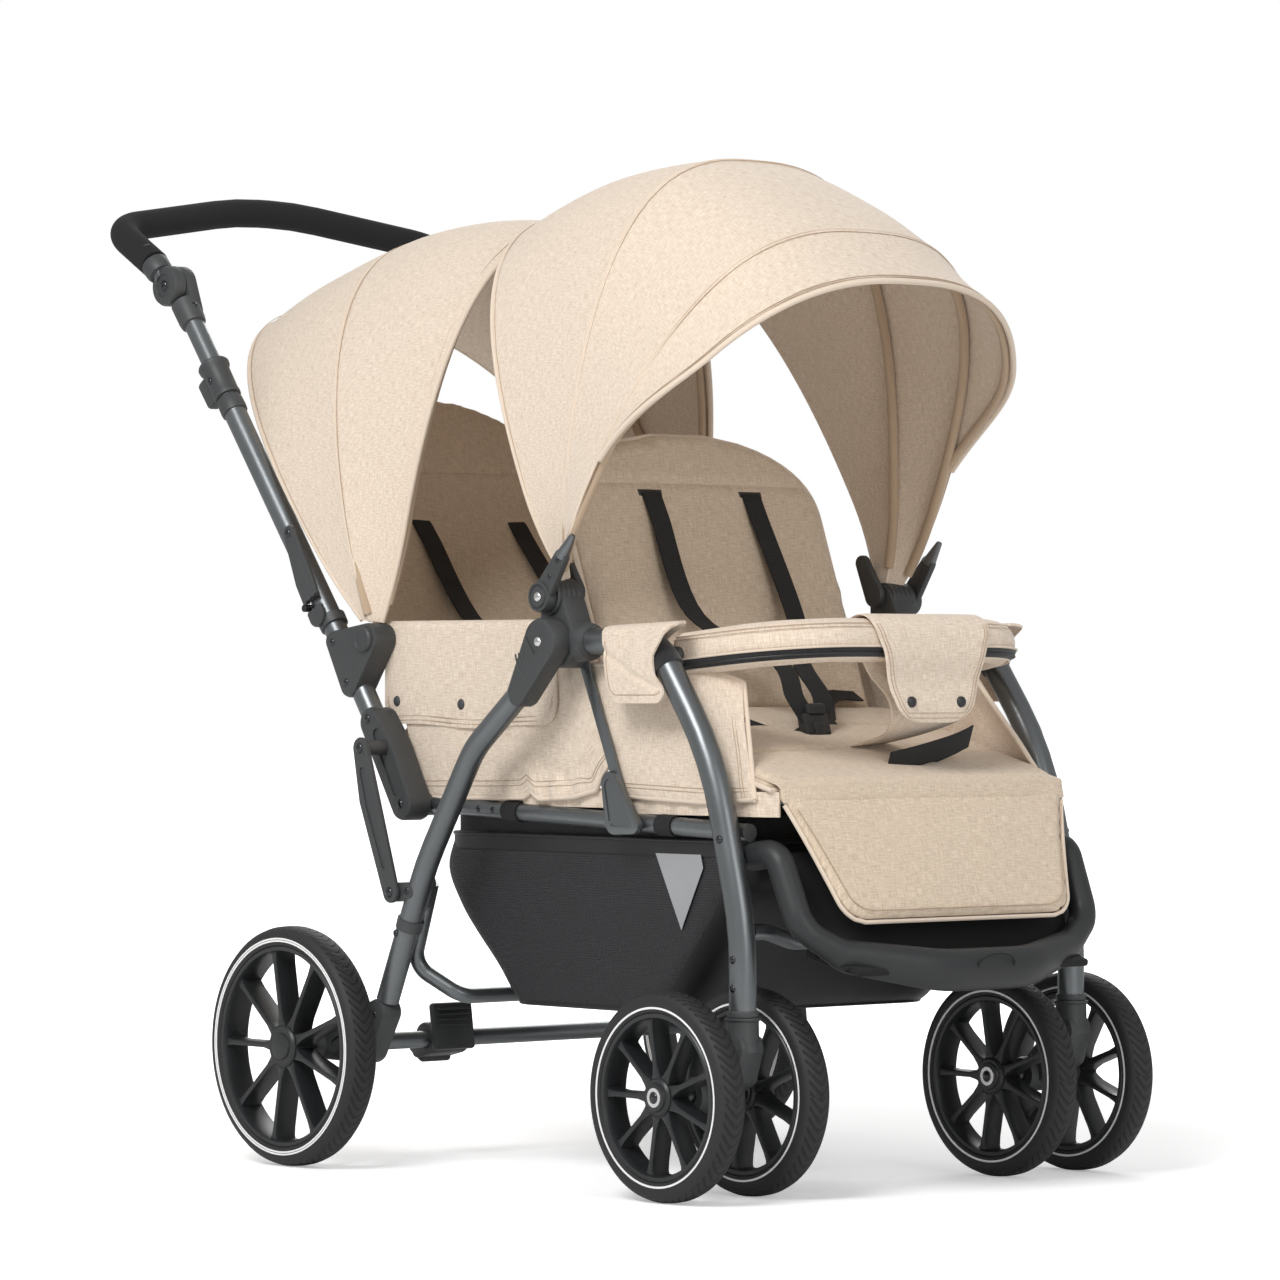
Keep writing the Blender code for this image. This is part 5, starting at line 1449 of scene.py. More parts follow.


# %% [markdown]
# ## Hoods
# A hood is one long cloth shell sewn over bent ribs that fan out from a pivot. Each rib is an
# arch: its half width, height, how square it is, and where its foot starts. The shell is built
# panel by panel between two ribs.

# %% Hood panels
FRONT_RIBS = (
    (62, 0.229, 0.456, 0.72, 0.0188, 0.209),
    (94.5, 0.231, 0.450, 0.73, 0.0188, 0.214),
    (118.5, 0.248, 0.419, 0.74, 0.0188, 0.230),
    (131, 0.268, 0.415, 0.78, 0.0188, 0.234),
)
REAR_RIBS = (
    (46, 0.236, 0.505, 0.70, 0.0272, PUSH_X),
    (70, 0.236, 0.462, 0.80, 0.0194, PUSH_X),
    (102, 0.210, 0.447, 0.72, 0.0173, PUSH_X),
)
SLEEVE_ENDS = (0.012, 0.988)
TUCK_RADIUS = 0.12
BRIM_FOOT = 0.085
BRIM_ROOT = 0.08
HOOD_CLOTH = 0.0022
HOOD_SAG = 0.004


def arch_point(hub, rib, t, out=0.0):
    """A point of a hood rib from foot (t = 0) to foot (t = 1), moved out from the pivot."""
    angle, half_width, radius, power, foot_radius, foot_x = rib
    angle, theta = math.radians(angle), math.pi * t
    r = max(radius * abs(math.sin(theta)) ** power, foot_radius)
    across = half_width * abs(math.cos(theta)) ** power
    across += (foot_x - across) * max(0.0, 1 - r / TUCK_RADIUS) ** 2
    r += out
    across += out * abs(math.cos(theta)) * min(1.0, r / TUCK_RADIUS)
    place = (hub[0] + r * math.cos(angle), hub[1] + r * math.sin(angle))
    return at(place, math.copysign(across, math.cos(theta)))


def between(first, last, share):
    return tuple(a + (b - a) * share for a, b in zip(first, last))


def woven(columns, rows, place, size):
    """A cloth grid: place(u, v) is its point at the shares u and v; size is its metres both ways."""
    bpy.ops.mesh.primitive_grid_add(x_subdivisions=columns, y_subdivisions=rows, size=2)
    obj = bpy.context.active_object
    shares = [((v.co.x + 1) / 2, (v.co.y + 1) / 2) for v in obj.data.vertices]
    layer = obj.data.uv_layers[0]
    layer.name = "cloth"
    for loop in obj.data.loops:
        u, v = shares[loop.vertex_index]
        layer.data[loop.index].uv = (u * size[0], v * size[1])
    for vertex, (u, v) in zip(obj.data.vertices, shares):
        vertex.co = place(u, v)
    return obj


def thick(obj, thickness, offset=0.0):
    return applied(obj, "SOLIDIFY", thickness=thickness, offset=offset, use_even_offset=False)


def brim_reach(t):
    """How far the brim stands out from its rib: little at its roots, then quickly all of it."""
    rise = min(1.0, max(0.0, (0.5 - abs(t - 0.5) - BRIM_FOOT) / 0.16))
    return BRIM_ROOT + (1 - BRIM_ROOT) * math.sin(math.pi / 2 * rise)


def hood_panel(name, hub, first, last, bodies, foot=0.003, reach=None):
    """Cloth between two ribs, a little hollow between them; the bodies are not used."""

    def place(u, v):
        t = foot + (1 - 2 * foot) * u
        share = v * reach(t) if reach else v
        hollow = HOOD_SAG * math.sin(math.pi * share) * math.sin(math.pi * t)
        ripple = 0.0012 * noise.noise(Vector((u * 9, v * 3, first[0]))) * math.sin(math.pi * t)
        return arch_point(hub, between(first, last, share), t, ripple - hollow)

    middle_rib = between(first, last, 0.5)
    spots = [arch_point(hub, middle_rib, i / 60) for i in range(61)]
    length = sum((b - a).length for a, b in zip(spots, spots[1:]))
    depth = (arch_point(hub, first, 0.5) - arch_point(hub, last, 0.5)).length
    obj = woven(112, 14, place, (length, depth))
    thick(obj, HOOD_CLOTH)
    finished(obj, name, "beige", None, math.radians(50))
    ends = [Vector((0, *arch_point(hub, rib, 0.5)[1:])) for rib in (first, last)]
    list(bodies)
    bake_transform(obj)
    return obj


def rib_tube(name, hub, rib, radius, body, look="beige", out=0.0, ends=(0.0, 1.0), slide=0.0):
    """A sleeve, piping or hem that follows a rib from foot to foot."""
    angle, *rest = rib
    turned_rib = (angle + slide, *rest)
    count = 120
    path = [
        arch_point(hub, turned_rib, ends[0] + (ends[1] - ends[0]) * i / count, out)
        for i in range(count + 1)
    ]
    return finished(tube(path, radius, 12), name, look, body)


def rib_stitches(start, hub, out, rows):
    for label, rib, slide, body in rows:
        rib_tube(start + label, hub, rib, STITCH_RADIUS, body, "seam", out, (0.01, 0.99), slide)


def brim_edge(offset=0.0, out=0.0, count=140):
    """The free edge of the front hood's brim, or a line behind it."""
    path = []
    for i in range(count + 1):
        t = BRIM_FOOT + (1 - 2 * BRIM_FOOT) * i / count
        share = max(0.0, brim_reach(t) - offset)
        path.append(arch_point(HUB_DISC, between(FRONT_RIBS[2], FRONT_RIBS[3], share), t, out))
    return path


# %% Front hood
def front_hood():
    rear, first, second, brim = FRONT_RIBS
    panels = (
        ("hood_panel_back", rear, first, ("chassis", "front_hood_rear"), 0.003, None, "front_hood_rear"),
        (
            "hood_panel_top", first, second, ("front_hood_rear", "front_hood_middle"), 0.003, None,
            "front_hood_middle",
        ),
        (
            "hood_panel_brim", second, brim, ("front_hood_middle", "front_hood_brim"), BRIM_FOOT,
            brim_reach, "front_hood_brim",
        ),
    )
    for name, start, end, bodies, foot, reach, node in panels:
        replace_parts(hood_panel(name, HUB_DISC, start, end, bodies, foot, reach), node)
    for label, rib, body, radius in (
        ("back", rear, "chassis", 0.0022),
        ("first", first, "front_hood_rear", 0.0017),
        ("second", second, "front_hood_middle", 0.0017),
    ):
        rib_tube("hood_piping_" + label, HUB_DISC, rib, radius, body, out=0.0008)
    for label, rib, body in (("first", first, "front_hood_rear"), ("second", second, "front_hood_middle")):
        rib_tube("hood_sleeve_" + label, HUB_DISC, rib, 0.0052, body, "lining", -0.0062, SLEEVE_ENDS)
    finished(tube(brim_edge(0.0), 0.0030, 14), "brim_binding", "beige", "front_hood_brim")
    finished(tube(brim_edge(0.10, -0.0040), 0.0042, 14), "brim_rib_sleeve", "lining", "front_hood_brim")
    for label, offset in (("near", 0.055), ("far", 0.085)):
        finished(
            tube(brim_edge(offset, 0.0011), STITCH_RADIUS, 6), "brim_stitch_" + label, "seam",
            "front_hood_brim",
        )
    rows = (
        ("back", rear, 0.9, "chassis"),
        ("first", first, 0.8, "front_hood_rear"),
        ("second", second, 0.8, "front_hood_middle"),
    )
    rib_stitches("hood_stitch_", HUB_DISC, 0.0010, rows)


front_hood()


# %% Rear hood
def rear_hood():
    rear, seam, front = REAR_RIBS
    panels = (
        ("rear_panel_back", rear, seam, ("push_frame", "rear_hood_rear"), "rear_hood_rear"),
        ("rear_panel_front", seam, front, ("rear_hood_rear", "rear_hood_front"), "rear_hood_front"),
    )
    for name, start, end, bodies, node in panels:
        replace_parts(hood_panel(name, REAR_CANOPY_PIVOT, start, end, bodies), node)
    for label, rib, body, radius in (
        ("back", rear, "push_frame", 0.0022),
        ("seam", seam, "rear_hood_rear", 0.0017),
        ("front", front, "rear_hood_front", 0.0030),
    ):
        rib_tube("rear_hood_piping_" + label, REAR_CANOPY_PIVOT, rib, radius, body, out=0.0006)
    rib_tube(
        "rear_hood_sleeve", REAR_CANOPY_PIVOT, seam, 0.0052, "rear_hood_rear", "lining", -0.0062,
        SLEEVE_ENDS,
    )
    rib_tube(
        "rear_hood_front_sleeve", REAR_CANOPY_PIVOT, front, 0.0045, "rear_hood_front", "lining",
        -0.0052, SLEEVE_ENDS, -1.6,
    )
    rows = (
        ("front", front, -1.9, "rear_hood_front"),
        ("seam", seam, 0.8, "rear_hood_rear"),
        ("back", rear, 0.9, "push_frame"),
    )
    rib_stitches("rear_hood_stitch_", REAR_CANOPY_PIVOT, 0.0011, rows)


rear_hood()


# %% [markdown]
# Each side of the front hood ends in two moulded arms: one that holds the rear rib, on the inner
# side, and one with a metal clamp for the front ribs.

# %% Hood arms


def hood_arm(side, letter, label, angle, reach, x, body, width=0.0085):
    way = (math.cos(math.radians(angle)), math.sin(math.radians(angle)))
    tip = (HUB_DISC[0] + reach * way[0], HUB_DISC[1] + reach * way[1])
    near = (HUB_DISC[0] + 0.006 * way[0], HUB_DISC[1] + 0.006 * way[1])
    outline = band_outline([(*near, 0.0125), (*tip, width)])
    arm = plate(outline, side * (x - 0.004), side * (x + 0.004), 0.002)
    finished(arm, f"hood_arm_{label}_{letter}", "plastic", body)
    spots = [
        at((HUB_DISC[0] + r * way[0], HUB_DISC[1] + r * way[1]), side * (x + 0.0038))
        for r in (reach * 0.52, reach * 0.92)
    ]
    rivets(f"hood_arm_screws_{label}_{letter}", spots, (side, 0, 0), 0.0030, body)


def hood_arms(side, letter):
    outer_x = REAR_LEG_X - 0.0016
    hood_arm(side, letter, "front", 128, 0.050, outer_x, "front_hood_middle")
    hood_arm(side, letter, "rear", 62, 0.045, HUB_INNER_X - 0.0045, "front_hood_rear")
    way = Vector((0, math.cos(math.radians(128)), math.sin(math.radians(128))))
    start = at(HUB_DISC, side * outer_x) + way * 0.050
    clamp = rod(start, start + way * 0.028, 0.0075, 28, 0.0012, 0.0030)
    finished(clamp, "rib_clamp_" + letter, "metal", "front_hood_middle")


both(hood_arms)


# %% [markdown]
# ## Padded seats
# A pad starts as a flat grid made solid. The cloth simulation blows it up a little, as filling
# does, and its seams, piping and stitches are laid on afterwards.

# %% Padding helpers
PAD = 0.022


def pad_blank(length, thickness, half_width, crown, columns=30, rows=44):
    """A flat pad in its own frame: X across, Y up its length, Z out of its face."""

    def place(u, v):
        swell = crown * (1 - (2 * u - 1) ** 2) * (1 - (2 * v - 1) ** 2)
        return Vector(((2 * u - 1) * half_width(v), v * length, swell))

    obj = woven(columns, rows, place, (1, 1))
    thick(obj, thickness, -1)
    return obj


def puff(obj, cap, pressure=4.0, voxel=0.006, frames=20):
    """Swells a flat pad by a cloth simulation, its outline kept and no point lifted past the cap."""
    applied(obj, "REMESH", mode="VOXEL", voxel_size=voxel, use_smooth_shade=True)
    before = [v.co.copy() for v in obj.data.vertices]
    pick(obj)
    bpy.ops.object.modifier_add(type="CLOTH")
    sim = obj.modifiers[-1]
    sim.settings.use_pressure = True
    sim.settings.uniform_pressure_force = pressure
    sim.settings.effector_weights.gravity = 0
    sim.settings.quality = 4
    sim.point_cache.frame_start = 1
    sim.point_cache.frame_end = frames
    scene = bpy.context.scene
    for frame_number in range(1, frames + 1):
        scene.frame_set(frame_number)
    graph = bpy.context.evaluated_depsgraph_get()
    after = [v.co.copy() for v in obj.evaluated_get(graph).data.vertices]
    obj.modifiers.remove(sim)
    scene.frame_set(1)
    for vertex, start, end in zip(obj.data.vertices, before, after):
        vertex.co = start + Vector((0, 0, max(-cap, min(cap, end.z - start.z))))
    return smooth_divided(obj)


def press(obj, lines, depth, width):
    """Sewn channels: the face sinks along each line, given as a function of (x, y) in metres."""
    for vertex in obj.data.vertices:
        x, y, z = vertex.co
        near = min(abs(line(x, y)) for line in lines)
        if near < width:
            vertex.co.z -= depth * (1 - near / width) ** 2 * (1 if z > -0.008 else -0.3)
    return obj


def cloth_map(obj):
    """Cloth coordinates of a pad: metres across and along its own frame."""
    layer = obj.data.uv_layers[0] if obj.data.uv_layers else obj.data.uv_layers.new(name="cloth")
    layer.name = "cloth"
    for loop in obj.data.loops:
        co = obj.data.vertices[loop.vertex_index].co
        layer.data[loop.index].uv = (co.x + co.z * 0.3, co.y + co.z * 0.7)
    return obj


def laid(obj, hinge, angle, lift=0.0, forward=False):
    """Places a pad so that its length climbs rearward at the angle, or with forward falls forward."""
    turn = Matrix.Rotation(angle, 4, "X")
    if forward:
        turn = turn @ Matrix.Rotation(math.pi, 4, "Z")
    obj.data.transform(Matrix.Translation(at(hinge)) @ turn @ Matrix.Translation((0, 0, lift)))
    return obj


def pad_edge(length, half_width, z, inset=0.0, count=40):
    """The outline of a pad at one height, drawn in by the inset."""
    sides = [
        (half_width(i / count) - inset, inset + (length - 2 * inset) * i / count) for i in range(count + 1)
    ]
    top = [(sides[-1][0] * math.cos(a), sides[-1][1]) for a in (math.pi * k / 12 for k in range(1, 12))]
    ring = [(x, y) for x, y in sides] + top + [(-x, y) for x, y in reversed(sides)]
    return [Vector((x, y, z)) for x, y in ring]


def tombstone(half, share):
    """A half-width rule with a rounded top."""

    def rule(v):
        top = max(0.0, (v - share) / (1 - share))
        return half * math.sqrt(max(0.04, 1 - 0.95 * top**2.4))

    return rule


# %% [markdown]
# Each seat is a cushion and a backrest: a flat sewn bag that its filling swells. One function makes
# all four, because they differ only in outline, seams, place and lean.

# %% Seats and backrests
FRONT_SEAT_LENGTH, REAR_SEAT_LENGTH = 0.272, 0.225
FRONT_BACK_LENGTH, REAR_BACK_LENGTH = 0.312, 0.436
FRONT_SEAT_SLOPE, REAR_SEAT_SLOPE = math.radians(15), math.radians(3)
FRONT_BACK_LEAN, REAR_BACK_LEAN = math.radians(70), math.radians(57)
LEG_REST_SLOPE = math.radians(66)
SEAT_HALF = PANEL_X - 0.0103
SHRINK = 0.003


def seat_pad(name, node, body, hinge, length, half_width, angle, forward, seams):
    blank = pad_blank(length - 2 * SHRINK, PAD - 2 * SHRINK, lambda v: half_width(v) - SHRINK, 0.006)
    blank.data.transform(Matrix.Translation((0, SHRINK, -SHRINK)))
    obj = cloth_map(press(puff(blank, 0.006), seams, 0.0035, 0.010))
    finished(laid(obj, hinge, angle, PAD / 2, forward), name, "beige_pad", body, CLOTH_ANGLE)
    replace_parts(obj, node)
    path = pad_edge(length, half_width, -PAD * 0.42, 0.002)
    piping = laid(tube(path, 0.0026, 12), hinge, angle, PAD / 2, forward)
    finished(piping, name + "_piping", "beige", body)
    return obj


# %% Four pads
def seats():
    front_rule, rear_rule = tombstone(0.177, 0.70), tombstone(0.172, 0.75)
    pads = (
        ("front_cushion", "front_seat", "chassis", SEAT_HINGE, FRONT_SEAT_LENGTH, None, FRONT_SEAT_SLOPE),
        ("rear_cushion", "rear_seat", "chassis", REAR_SEAT_HINGE, REAR_SEAT_LENGTH, None, REAR_SEAT_SLOPE),
        (
            "front_back_pad", "front_backrest", "front_backrest", SEAT_HINGE, FRONT_BACK_LENGTH,
            front_rule, FRONT_BACK_LEAN,
        ),
        (
            "rear_back_pad", "rear_backrest", "rear_backrest", REAR_SEAT_HINGE, REAR_BACK_LENGTH,
            rear_rule, REAR_BACK_LEAN,
        ),
    )
    seams = ((0.090, 0.180), (0.110,), (0.252, 0.050), (0.330, 0.060))
    for (name, node, body, hinge, length, rule, angle), heights in zip(pads, seams):
        lines = [lambda x, y, height=height: y - height for height in heights]
        seat_pad(name, node, body, hinge, length, rule or (lambda v: SEAT_HALF), angle, not rule, lines)


seats()


# %% Leg rest
def leg_rest():
    length, slope, corner = 0.140, LEG_REST_SLOPE, 0.022

    def half(v):
        left = min(corner, (1 - v) * length)
        cut = corner - math.sqrt(max(0.0, corner**2 - (corner - left) ** 2))
        return 0.198 - 0.046 * v**0.8 - cut

    blank = pad_blank(length - 0.003, 0.008, lambda v: half(v) - 0.002, 0.004, 30, 40)
    obj = cloth_map(puff(blank, 0.004, 3.0, 0.005))
    pad = laid(obj, LEG_REST_HINGE, slope, 0.005, True)
    finished(pad, "leg_rest_pad", "beige_pad", "leg_rest", CLOTH_ANGLE)
    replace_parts(obj, "leg_rest")
    for label, z, inset, radius, look in (
        ("piping", -0.002, 0.001, 0.0022, "beige"), ("stitch", 0.0052, 0.010, 0.0005, "seam")
    ):
        line = laid(
            tube(pad_edge(length, half, z, inset)[4:-4], radius, 10), LEG_REST_HINGE, slope, 0.005, True
        )
        finished(line, "leg_rest_" + label, look, "leg_rest")


leg_rest()


# %% Seat apron
def seat_apron():
    """The seat cloth rolling over the front edge onto the leg rest."""
    seat_way = Vector((0, -math.cos(FRONT_SEAT_SLOPE), -math.sin(FRONT_SEAT_SLOPE)))
    rest_way = Vector((0, -math.cos(LEG_REST_SLOPE), -math.sin(LEG_REST_SLOPE)))
    centre = at(LEG_REST_HINGE)
    spots = [(centre - seat_way * back, 0.0, 0.0150) for back in (0.040, 0.030, 0.020, 0.010)]
    spots += [
        (centre, share, 0.0156 - 0.003 * share) for share in (0.0, 0.15, 0.3, 0.45, 0.6, 0.75, 0.9, 1.0)
    ]
    spots += [
        (centre + rest_way * down, 1.0, height)
        for down, height in ((0.005, 0.0118), (0.010, 0.0106), (0.014, 0.0088))
    ]
    first, last = math.radians(105), math.radians(156)

    def place(u, v):
        base, turn, height = spots[round(v * (len(spots) - 1))]
        angle = first + (last - first) * turn
        side = abs(2 * u - 1)
        height = height * (1 - 0.45 * side**6) + 0.0010 * noise.noise(Vector((u * 14, turn * 2, 1)))
        spot = base + Vector((0, math.cos(angle), math.sin(angle))) * height
        return Vector(((2 * u - 1) * (0.1965 - 0.0035 * turn), spot.y, spot.z))

    obj = woven(60, len(spots) - 1, place, (0.392, 0.068))
    thick(obj, 0.0018)
    smooth_divided(obj)
    finished(obj, "seat_apron", "beige_pad", None, CLOTH_ANGLE)
    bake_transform(obj)


seat_apron()


# %% [markdown]
# Between the arms of the footrest hangs a matt black cloth. Five rows of points give its profile, and
# a thin wall makes it solid.

# %% Footrest cloth
def footrest_tray():
    """The matt black cloth between the arms of the footrest."""
    arm_x = LEG_X - LEG_RADIUS - CLEARANCE - 0.014

    def tray(u, v):
        spots = ((-0.704, 0.228), (-0.672, 0.238), (-0.652, 0.268), (-0.632, 0.310), (-0.620, 0.338))
        y, z = spots[round(v * 4)]
        half_width = arm_x - 0.004 - 0.034 * (1 - v) ** 2
        return at((y + 0.006 * (2 * u - 1) ** 2, z), half_width * (2 * u - 1))

    finished(
        thick(woven(24, 4, tray, (0.38, 0.15)), 0.003), "footrest_tray", "foam", "chassis", CLOTH_ANGLE
    )


footrest_tray()


# %% [markdown]
# The harness straps are flat webbing, modelled directly: a ribbon along a path, a little thick.

# %% Straps


def ribbon(path, width, across=(1, 0, 0), thickness=0.0016, widths=None):
    """A flat strap along a path; widths may give the width at a share of the path."""
    path = [Vector(p) for p in path]
    across = Vector(across).normalized()
    lengths = [0.0]
    for a, b in zip(path, path[1:]):
        lengths.append(lengths[-1] + (b - a).length)
    last = len(path) - 1

    def place(u, v):
        index = round(v * last)
        wide = width * (widths(v) if widths else 1.0)
        return path[index] + across * wide * (u - 0.5)

    obj = woven(8, last, place, (width, lengths[-1]))
    return thick(obj, thickness)


def eased(points, per_step=8):
    """A smooth path through the points."""
    points = [Vector(p) for p in points]
    spots = []
    padded_points = [points[0] * 2 - points[1], *points, points[-1] * 2 - points[-2]]
    for a, b, c, d in zip(padded_points, padded_points[1:], padded_points[2:], padded_points[3:]):
        for i in range(per_step):
            t = i / per_step
            spots.append(
                0.5 * (
                    (2 * b) + (c - a) * t + (2 * a - 5 * b + 4 * c - d) * t * t + (
                        3 * b - a - 3 * c + d
                    ) * t**3
                )
            )
    spots.append(points[-1])
    return spots


def in_pad(hinge, lean, x, y, z):
    """A point given in a backrest's own frame."""
    turn = Matrix.Translation(at(hinge)) @ Matrix.Rotation(lean, 4, "X")
    return turn @ Vector((x, y, z))


def harness(label, hinge, lean, body, slot_y, spread, free, meet, knot, seat, replaced=None):
    """Five straps: two from the slots by free and meeting points to the knot, and three below."""
    face = PAD / 2 + 0.0085
    knot, seat = Vector(knot), Vector(seat)
    pieces = []
    for side, _ in SIDES:
        loose = at(free, side * spread)
        close = at(meet, side * 0.016 - 0.002)
        spots = [
            in_pad(hinge, lean, side * spread, slot_y + 0.006, face - 0.008),
            in_pad(hinge, lean, side * spread, slot_y, face - 0.001),
            in_pad(hinge, lean, side * spread, slot_y - 0.025, face + 0.003),
            loose,
            close,
            close.lerp(knot, 0.6) + Vector((side * 0.012, -0.006, 0.004)),
            knot + Vector((side * 0.006, 0, 0.006)),
        ]
        pieces.append(ribbon(eased(spots), 0.025))
        waist = [
            in_pad(hinge, lean, side * 0.150, 0.016, face),
            in_pad(hinge, lean, side * 0.100, 0.010, face + 0.010),
            knot + Vector((side * 0.034, 0.010, -0.006)),
            knot + Vector((side * 0.010, 0, -0.004)),
        ]
        pieces.append(ribbon(eased(waist), 0.020, (0, 0.9, 0.5)))
    below = [
        knot, knot.lerp(seat, 0.6) + Vector((0, -0.002, 0.002)), seat,
        seat + Vector((-0.002, -0.014, -0.003)),
    ]
    pieces.append(ribbon(eased(below), 0.028))
    straps = finished(joined(pieces), "harness_straps_" + label, "webbing", body)
    if replaced:
        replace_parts(straps, replaced)
    turn = Matrix.Translation(at(hinge)) @ Matrix.Rotation(lean, 4, "X")
    slots = [
        block((0.032, 0.0075, 0.003), (side * spread, slot_y + 0.002, face - 0.003)) for side, _ in SIDES
    ]
    slots = joined(slots)
    slots.data.transform(turn)
    parts = [slots]
    for size, shift, rise in (
        ((0.034, 0.013, 0.030), 0.0, 0.0), ((0.014, 0.004, 0.014), -0.0075, 0.0),
        ((0.024, 0.009, 0.012), 0.0, 0.019),
    ):
        parts.append(block(size, knot + Vector((0, shift, rise)), math.radians(-14), 0.003))
    finished(joined(parts), "harness_buckle_" + label, "dark", body)


harness(
    "front",
    SEAT_HINGE,
    FRONT_BACK_LEAN,
    "front_backrest",
    slot_y=0.238,
    spread=0.069,
    free=(-0.3712, 0.573),
    meet=(-0.440, 0.526),
    knot=at((-0.496, 0.458), -0.018),
    seat=at((-0.506, 0.446), -0.019),
    replaced="front_harness",
)
harness(
    "rear",
    REAR_SEAT_HINGE,
    REAR_BACK_LEAN,
    "rear_backrest",
    slot_y=0.262,
    spread=0.067,
    free=(-0.0141, 0.567),
    meet=(-0.060, 0.530),
    knot=at((-0.108, 0.482)),
    seat=at((-0.118, 0.466)),
)

# %% [markdown]
# ## Side cloth
# Each side is one padded cloth wall hung inside the tubes and laced to the rail. Its lower hem is
# gathered, and a flap folds over its rear top edge and is snapped down.

# %% Side panels
TOP_LINE = (
    (-0.044, 0.560), (-0.322, 0.558), (-0.336, 0.522), (-0.470, 0.522), (-0.520, 0.522),
    (-0.585, 0.508), (-0.598, 0.504),
)
HEM_LINE = (
    (-0.098, 0.384),
    (-0.225, 0.386),
    (-0.262, 0.387),
    (-0.276, 0.394),
    (-0.290, 0.386),
    (-0.345, 0.389),
    (-0.375, 0.396),
    (-0.388, 0.414),
    (-0.399, 0.424),
    (-0.405, 0.404),
    (-0.4185, 0.391),
    (-0.539, 0.3865),
    (-0.613, 0.3905),
)


def height_on(line, y):
    """The height of a side-view line at y."""
    for (y0, z0), (y1, z1) in zip(line, line[1:]):
        if y >= y1:
            return z0 + (z1 - z0) * (y - y0) / (y1 - y0)
    return line[-1][1]


def wall_point(side, u, v, out=0.0):
    """The side wall's surface: u from rear to front, v from hem to top."""
    low_y = HEM_LINE[0][0] + (HEM_LINE[-1][0] - HEM_LINE[0][0]) * u
    high_y = TOP_LINE[0][0] + (TOP_LINE[-1][0] - TOP_LINE[0][0]) * u
    low, high = (low_y, height_on(HEM_LINE, low_y)), (high_y, height_on(TOP_LINE, high_y))
    y, z = (a + (b - a) * v for a, b in zip(low, high))
    soft = math.sin(math.pi * min(1.0, max(0.0, v))) ** 0.7
    gathered = math.exp(-(((u - 0.40) / 0.13) ** 2))
    tucks = 0.5 + 0.5 * math.sin(u * 92 + 3.0 * noise.noise(Vector((u * 6, 3, side))))
    pull = math.exp(-((v / 0.20) ** 2)) * (0.25 + gathered)
    fold = noise.noise(Vector((u * 5.5, v * 2.2 + u * 4, side * 2))) * 0.0050
    slope = v - 0.10 - 1.5 * abs(u - 0.47)
    diagonal = math.exp(-((slope / 0.06) ** 2)) * 0.0042 * math.exp(-(((u - 0.47) / 0.16) ** 2))
    x = PANEL_X - 0.0060 + soft * 0.0036 + fold * soft + tucks * pull * 0.0034 - diagonal
    lean = v * max(0.0, (u - 0.72) / 0.28) ** 1.5
    return at((y + 0.050 * lean, z), side * (min(x, PANEL_X - 0.0008) + out - 0.044 * lean))


# %% Side walls
def side_wall(side, letter):
    rows, columns = 30, 220
    obj = woven(columns, rows, lambda u, v: wall_point(side, u, v), (0.57, 0.15))
    thick(obj, 0.004)
    smooth_divided(obj)
    wall = finished(obj, "side_cloth_" + letter, "beige", "chassis", CLOTH_ANGLE)
    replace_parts(wall, "side_panel_" + letter)
    count = 180
    hem = tube([wall_point(side, i / count, 0.0) for i in range(count + 1)], 0.0026, 10)
    top = tube([wall_point(side, i / count, 1.0) for i in range(count + 1)], 0.0026, 10)
    front = tube([wall_point(side, 1.0, 0.0), wall_point(side, 1.0, 1.0)], 0.0024, 10)
    finished(joined([hem, top, front]), "side_piping_" + letter, "beige", "chassis")
    lines = []
    for v in (0.070, 0.100):
        lines.append(
            tube([wall_point(side, i / count, v, 0.0022) for i in range(2, count - 1)], STITCH_RADIUS, 6)
        )
    for u in (0.972, 0.980):
        lines.append(
            tube([wall_point(side, u, 0.02 + 0.96 * i / 30, 0.0022) for i in range(31)], STITCH_RADIUS, 6)
        )
    finished(joined(lines), "side_stitch_" + letter, "seam", "chassis")
    for label, rear_y, front_y, low_z in (
        ("rear", -0.112, -0.394, 0.3785), ("front", -0.414, -0.634, 0.3735)
    ):

        def under(u, v, rear_y=rear_y, front_y=front_y, low_z=low_z):
            y = rear_y + (front_y - rear_y) * u
            bulge = 0.0016 * math.sin(u * 40 + 2 * side)
            inward = 0.010 * max(0.0, (-0.610 - y) / 0.024)
            return at(
                (y, low_z + (0.398 - low_z) * v), side * (PANEL_X - 0.0098 - inward + bulge * (1 - v))
            )

        skirt = thick(woven(70, 6, under, (abs(front_y - rear_y), 0.024)), 0.0024)
        finished(skirt, f"side_underlayer_{label}_{letter}", "beige", "chassis", CLOTH_ANGLE)


both(side_wall)


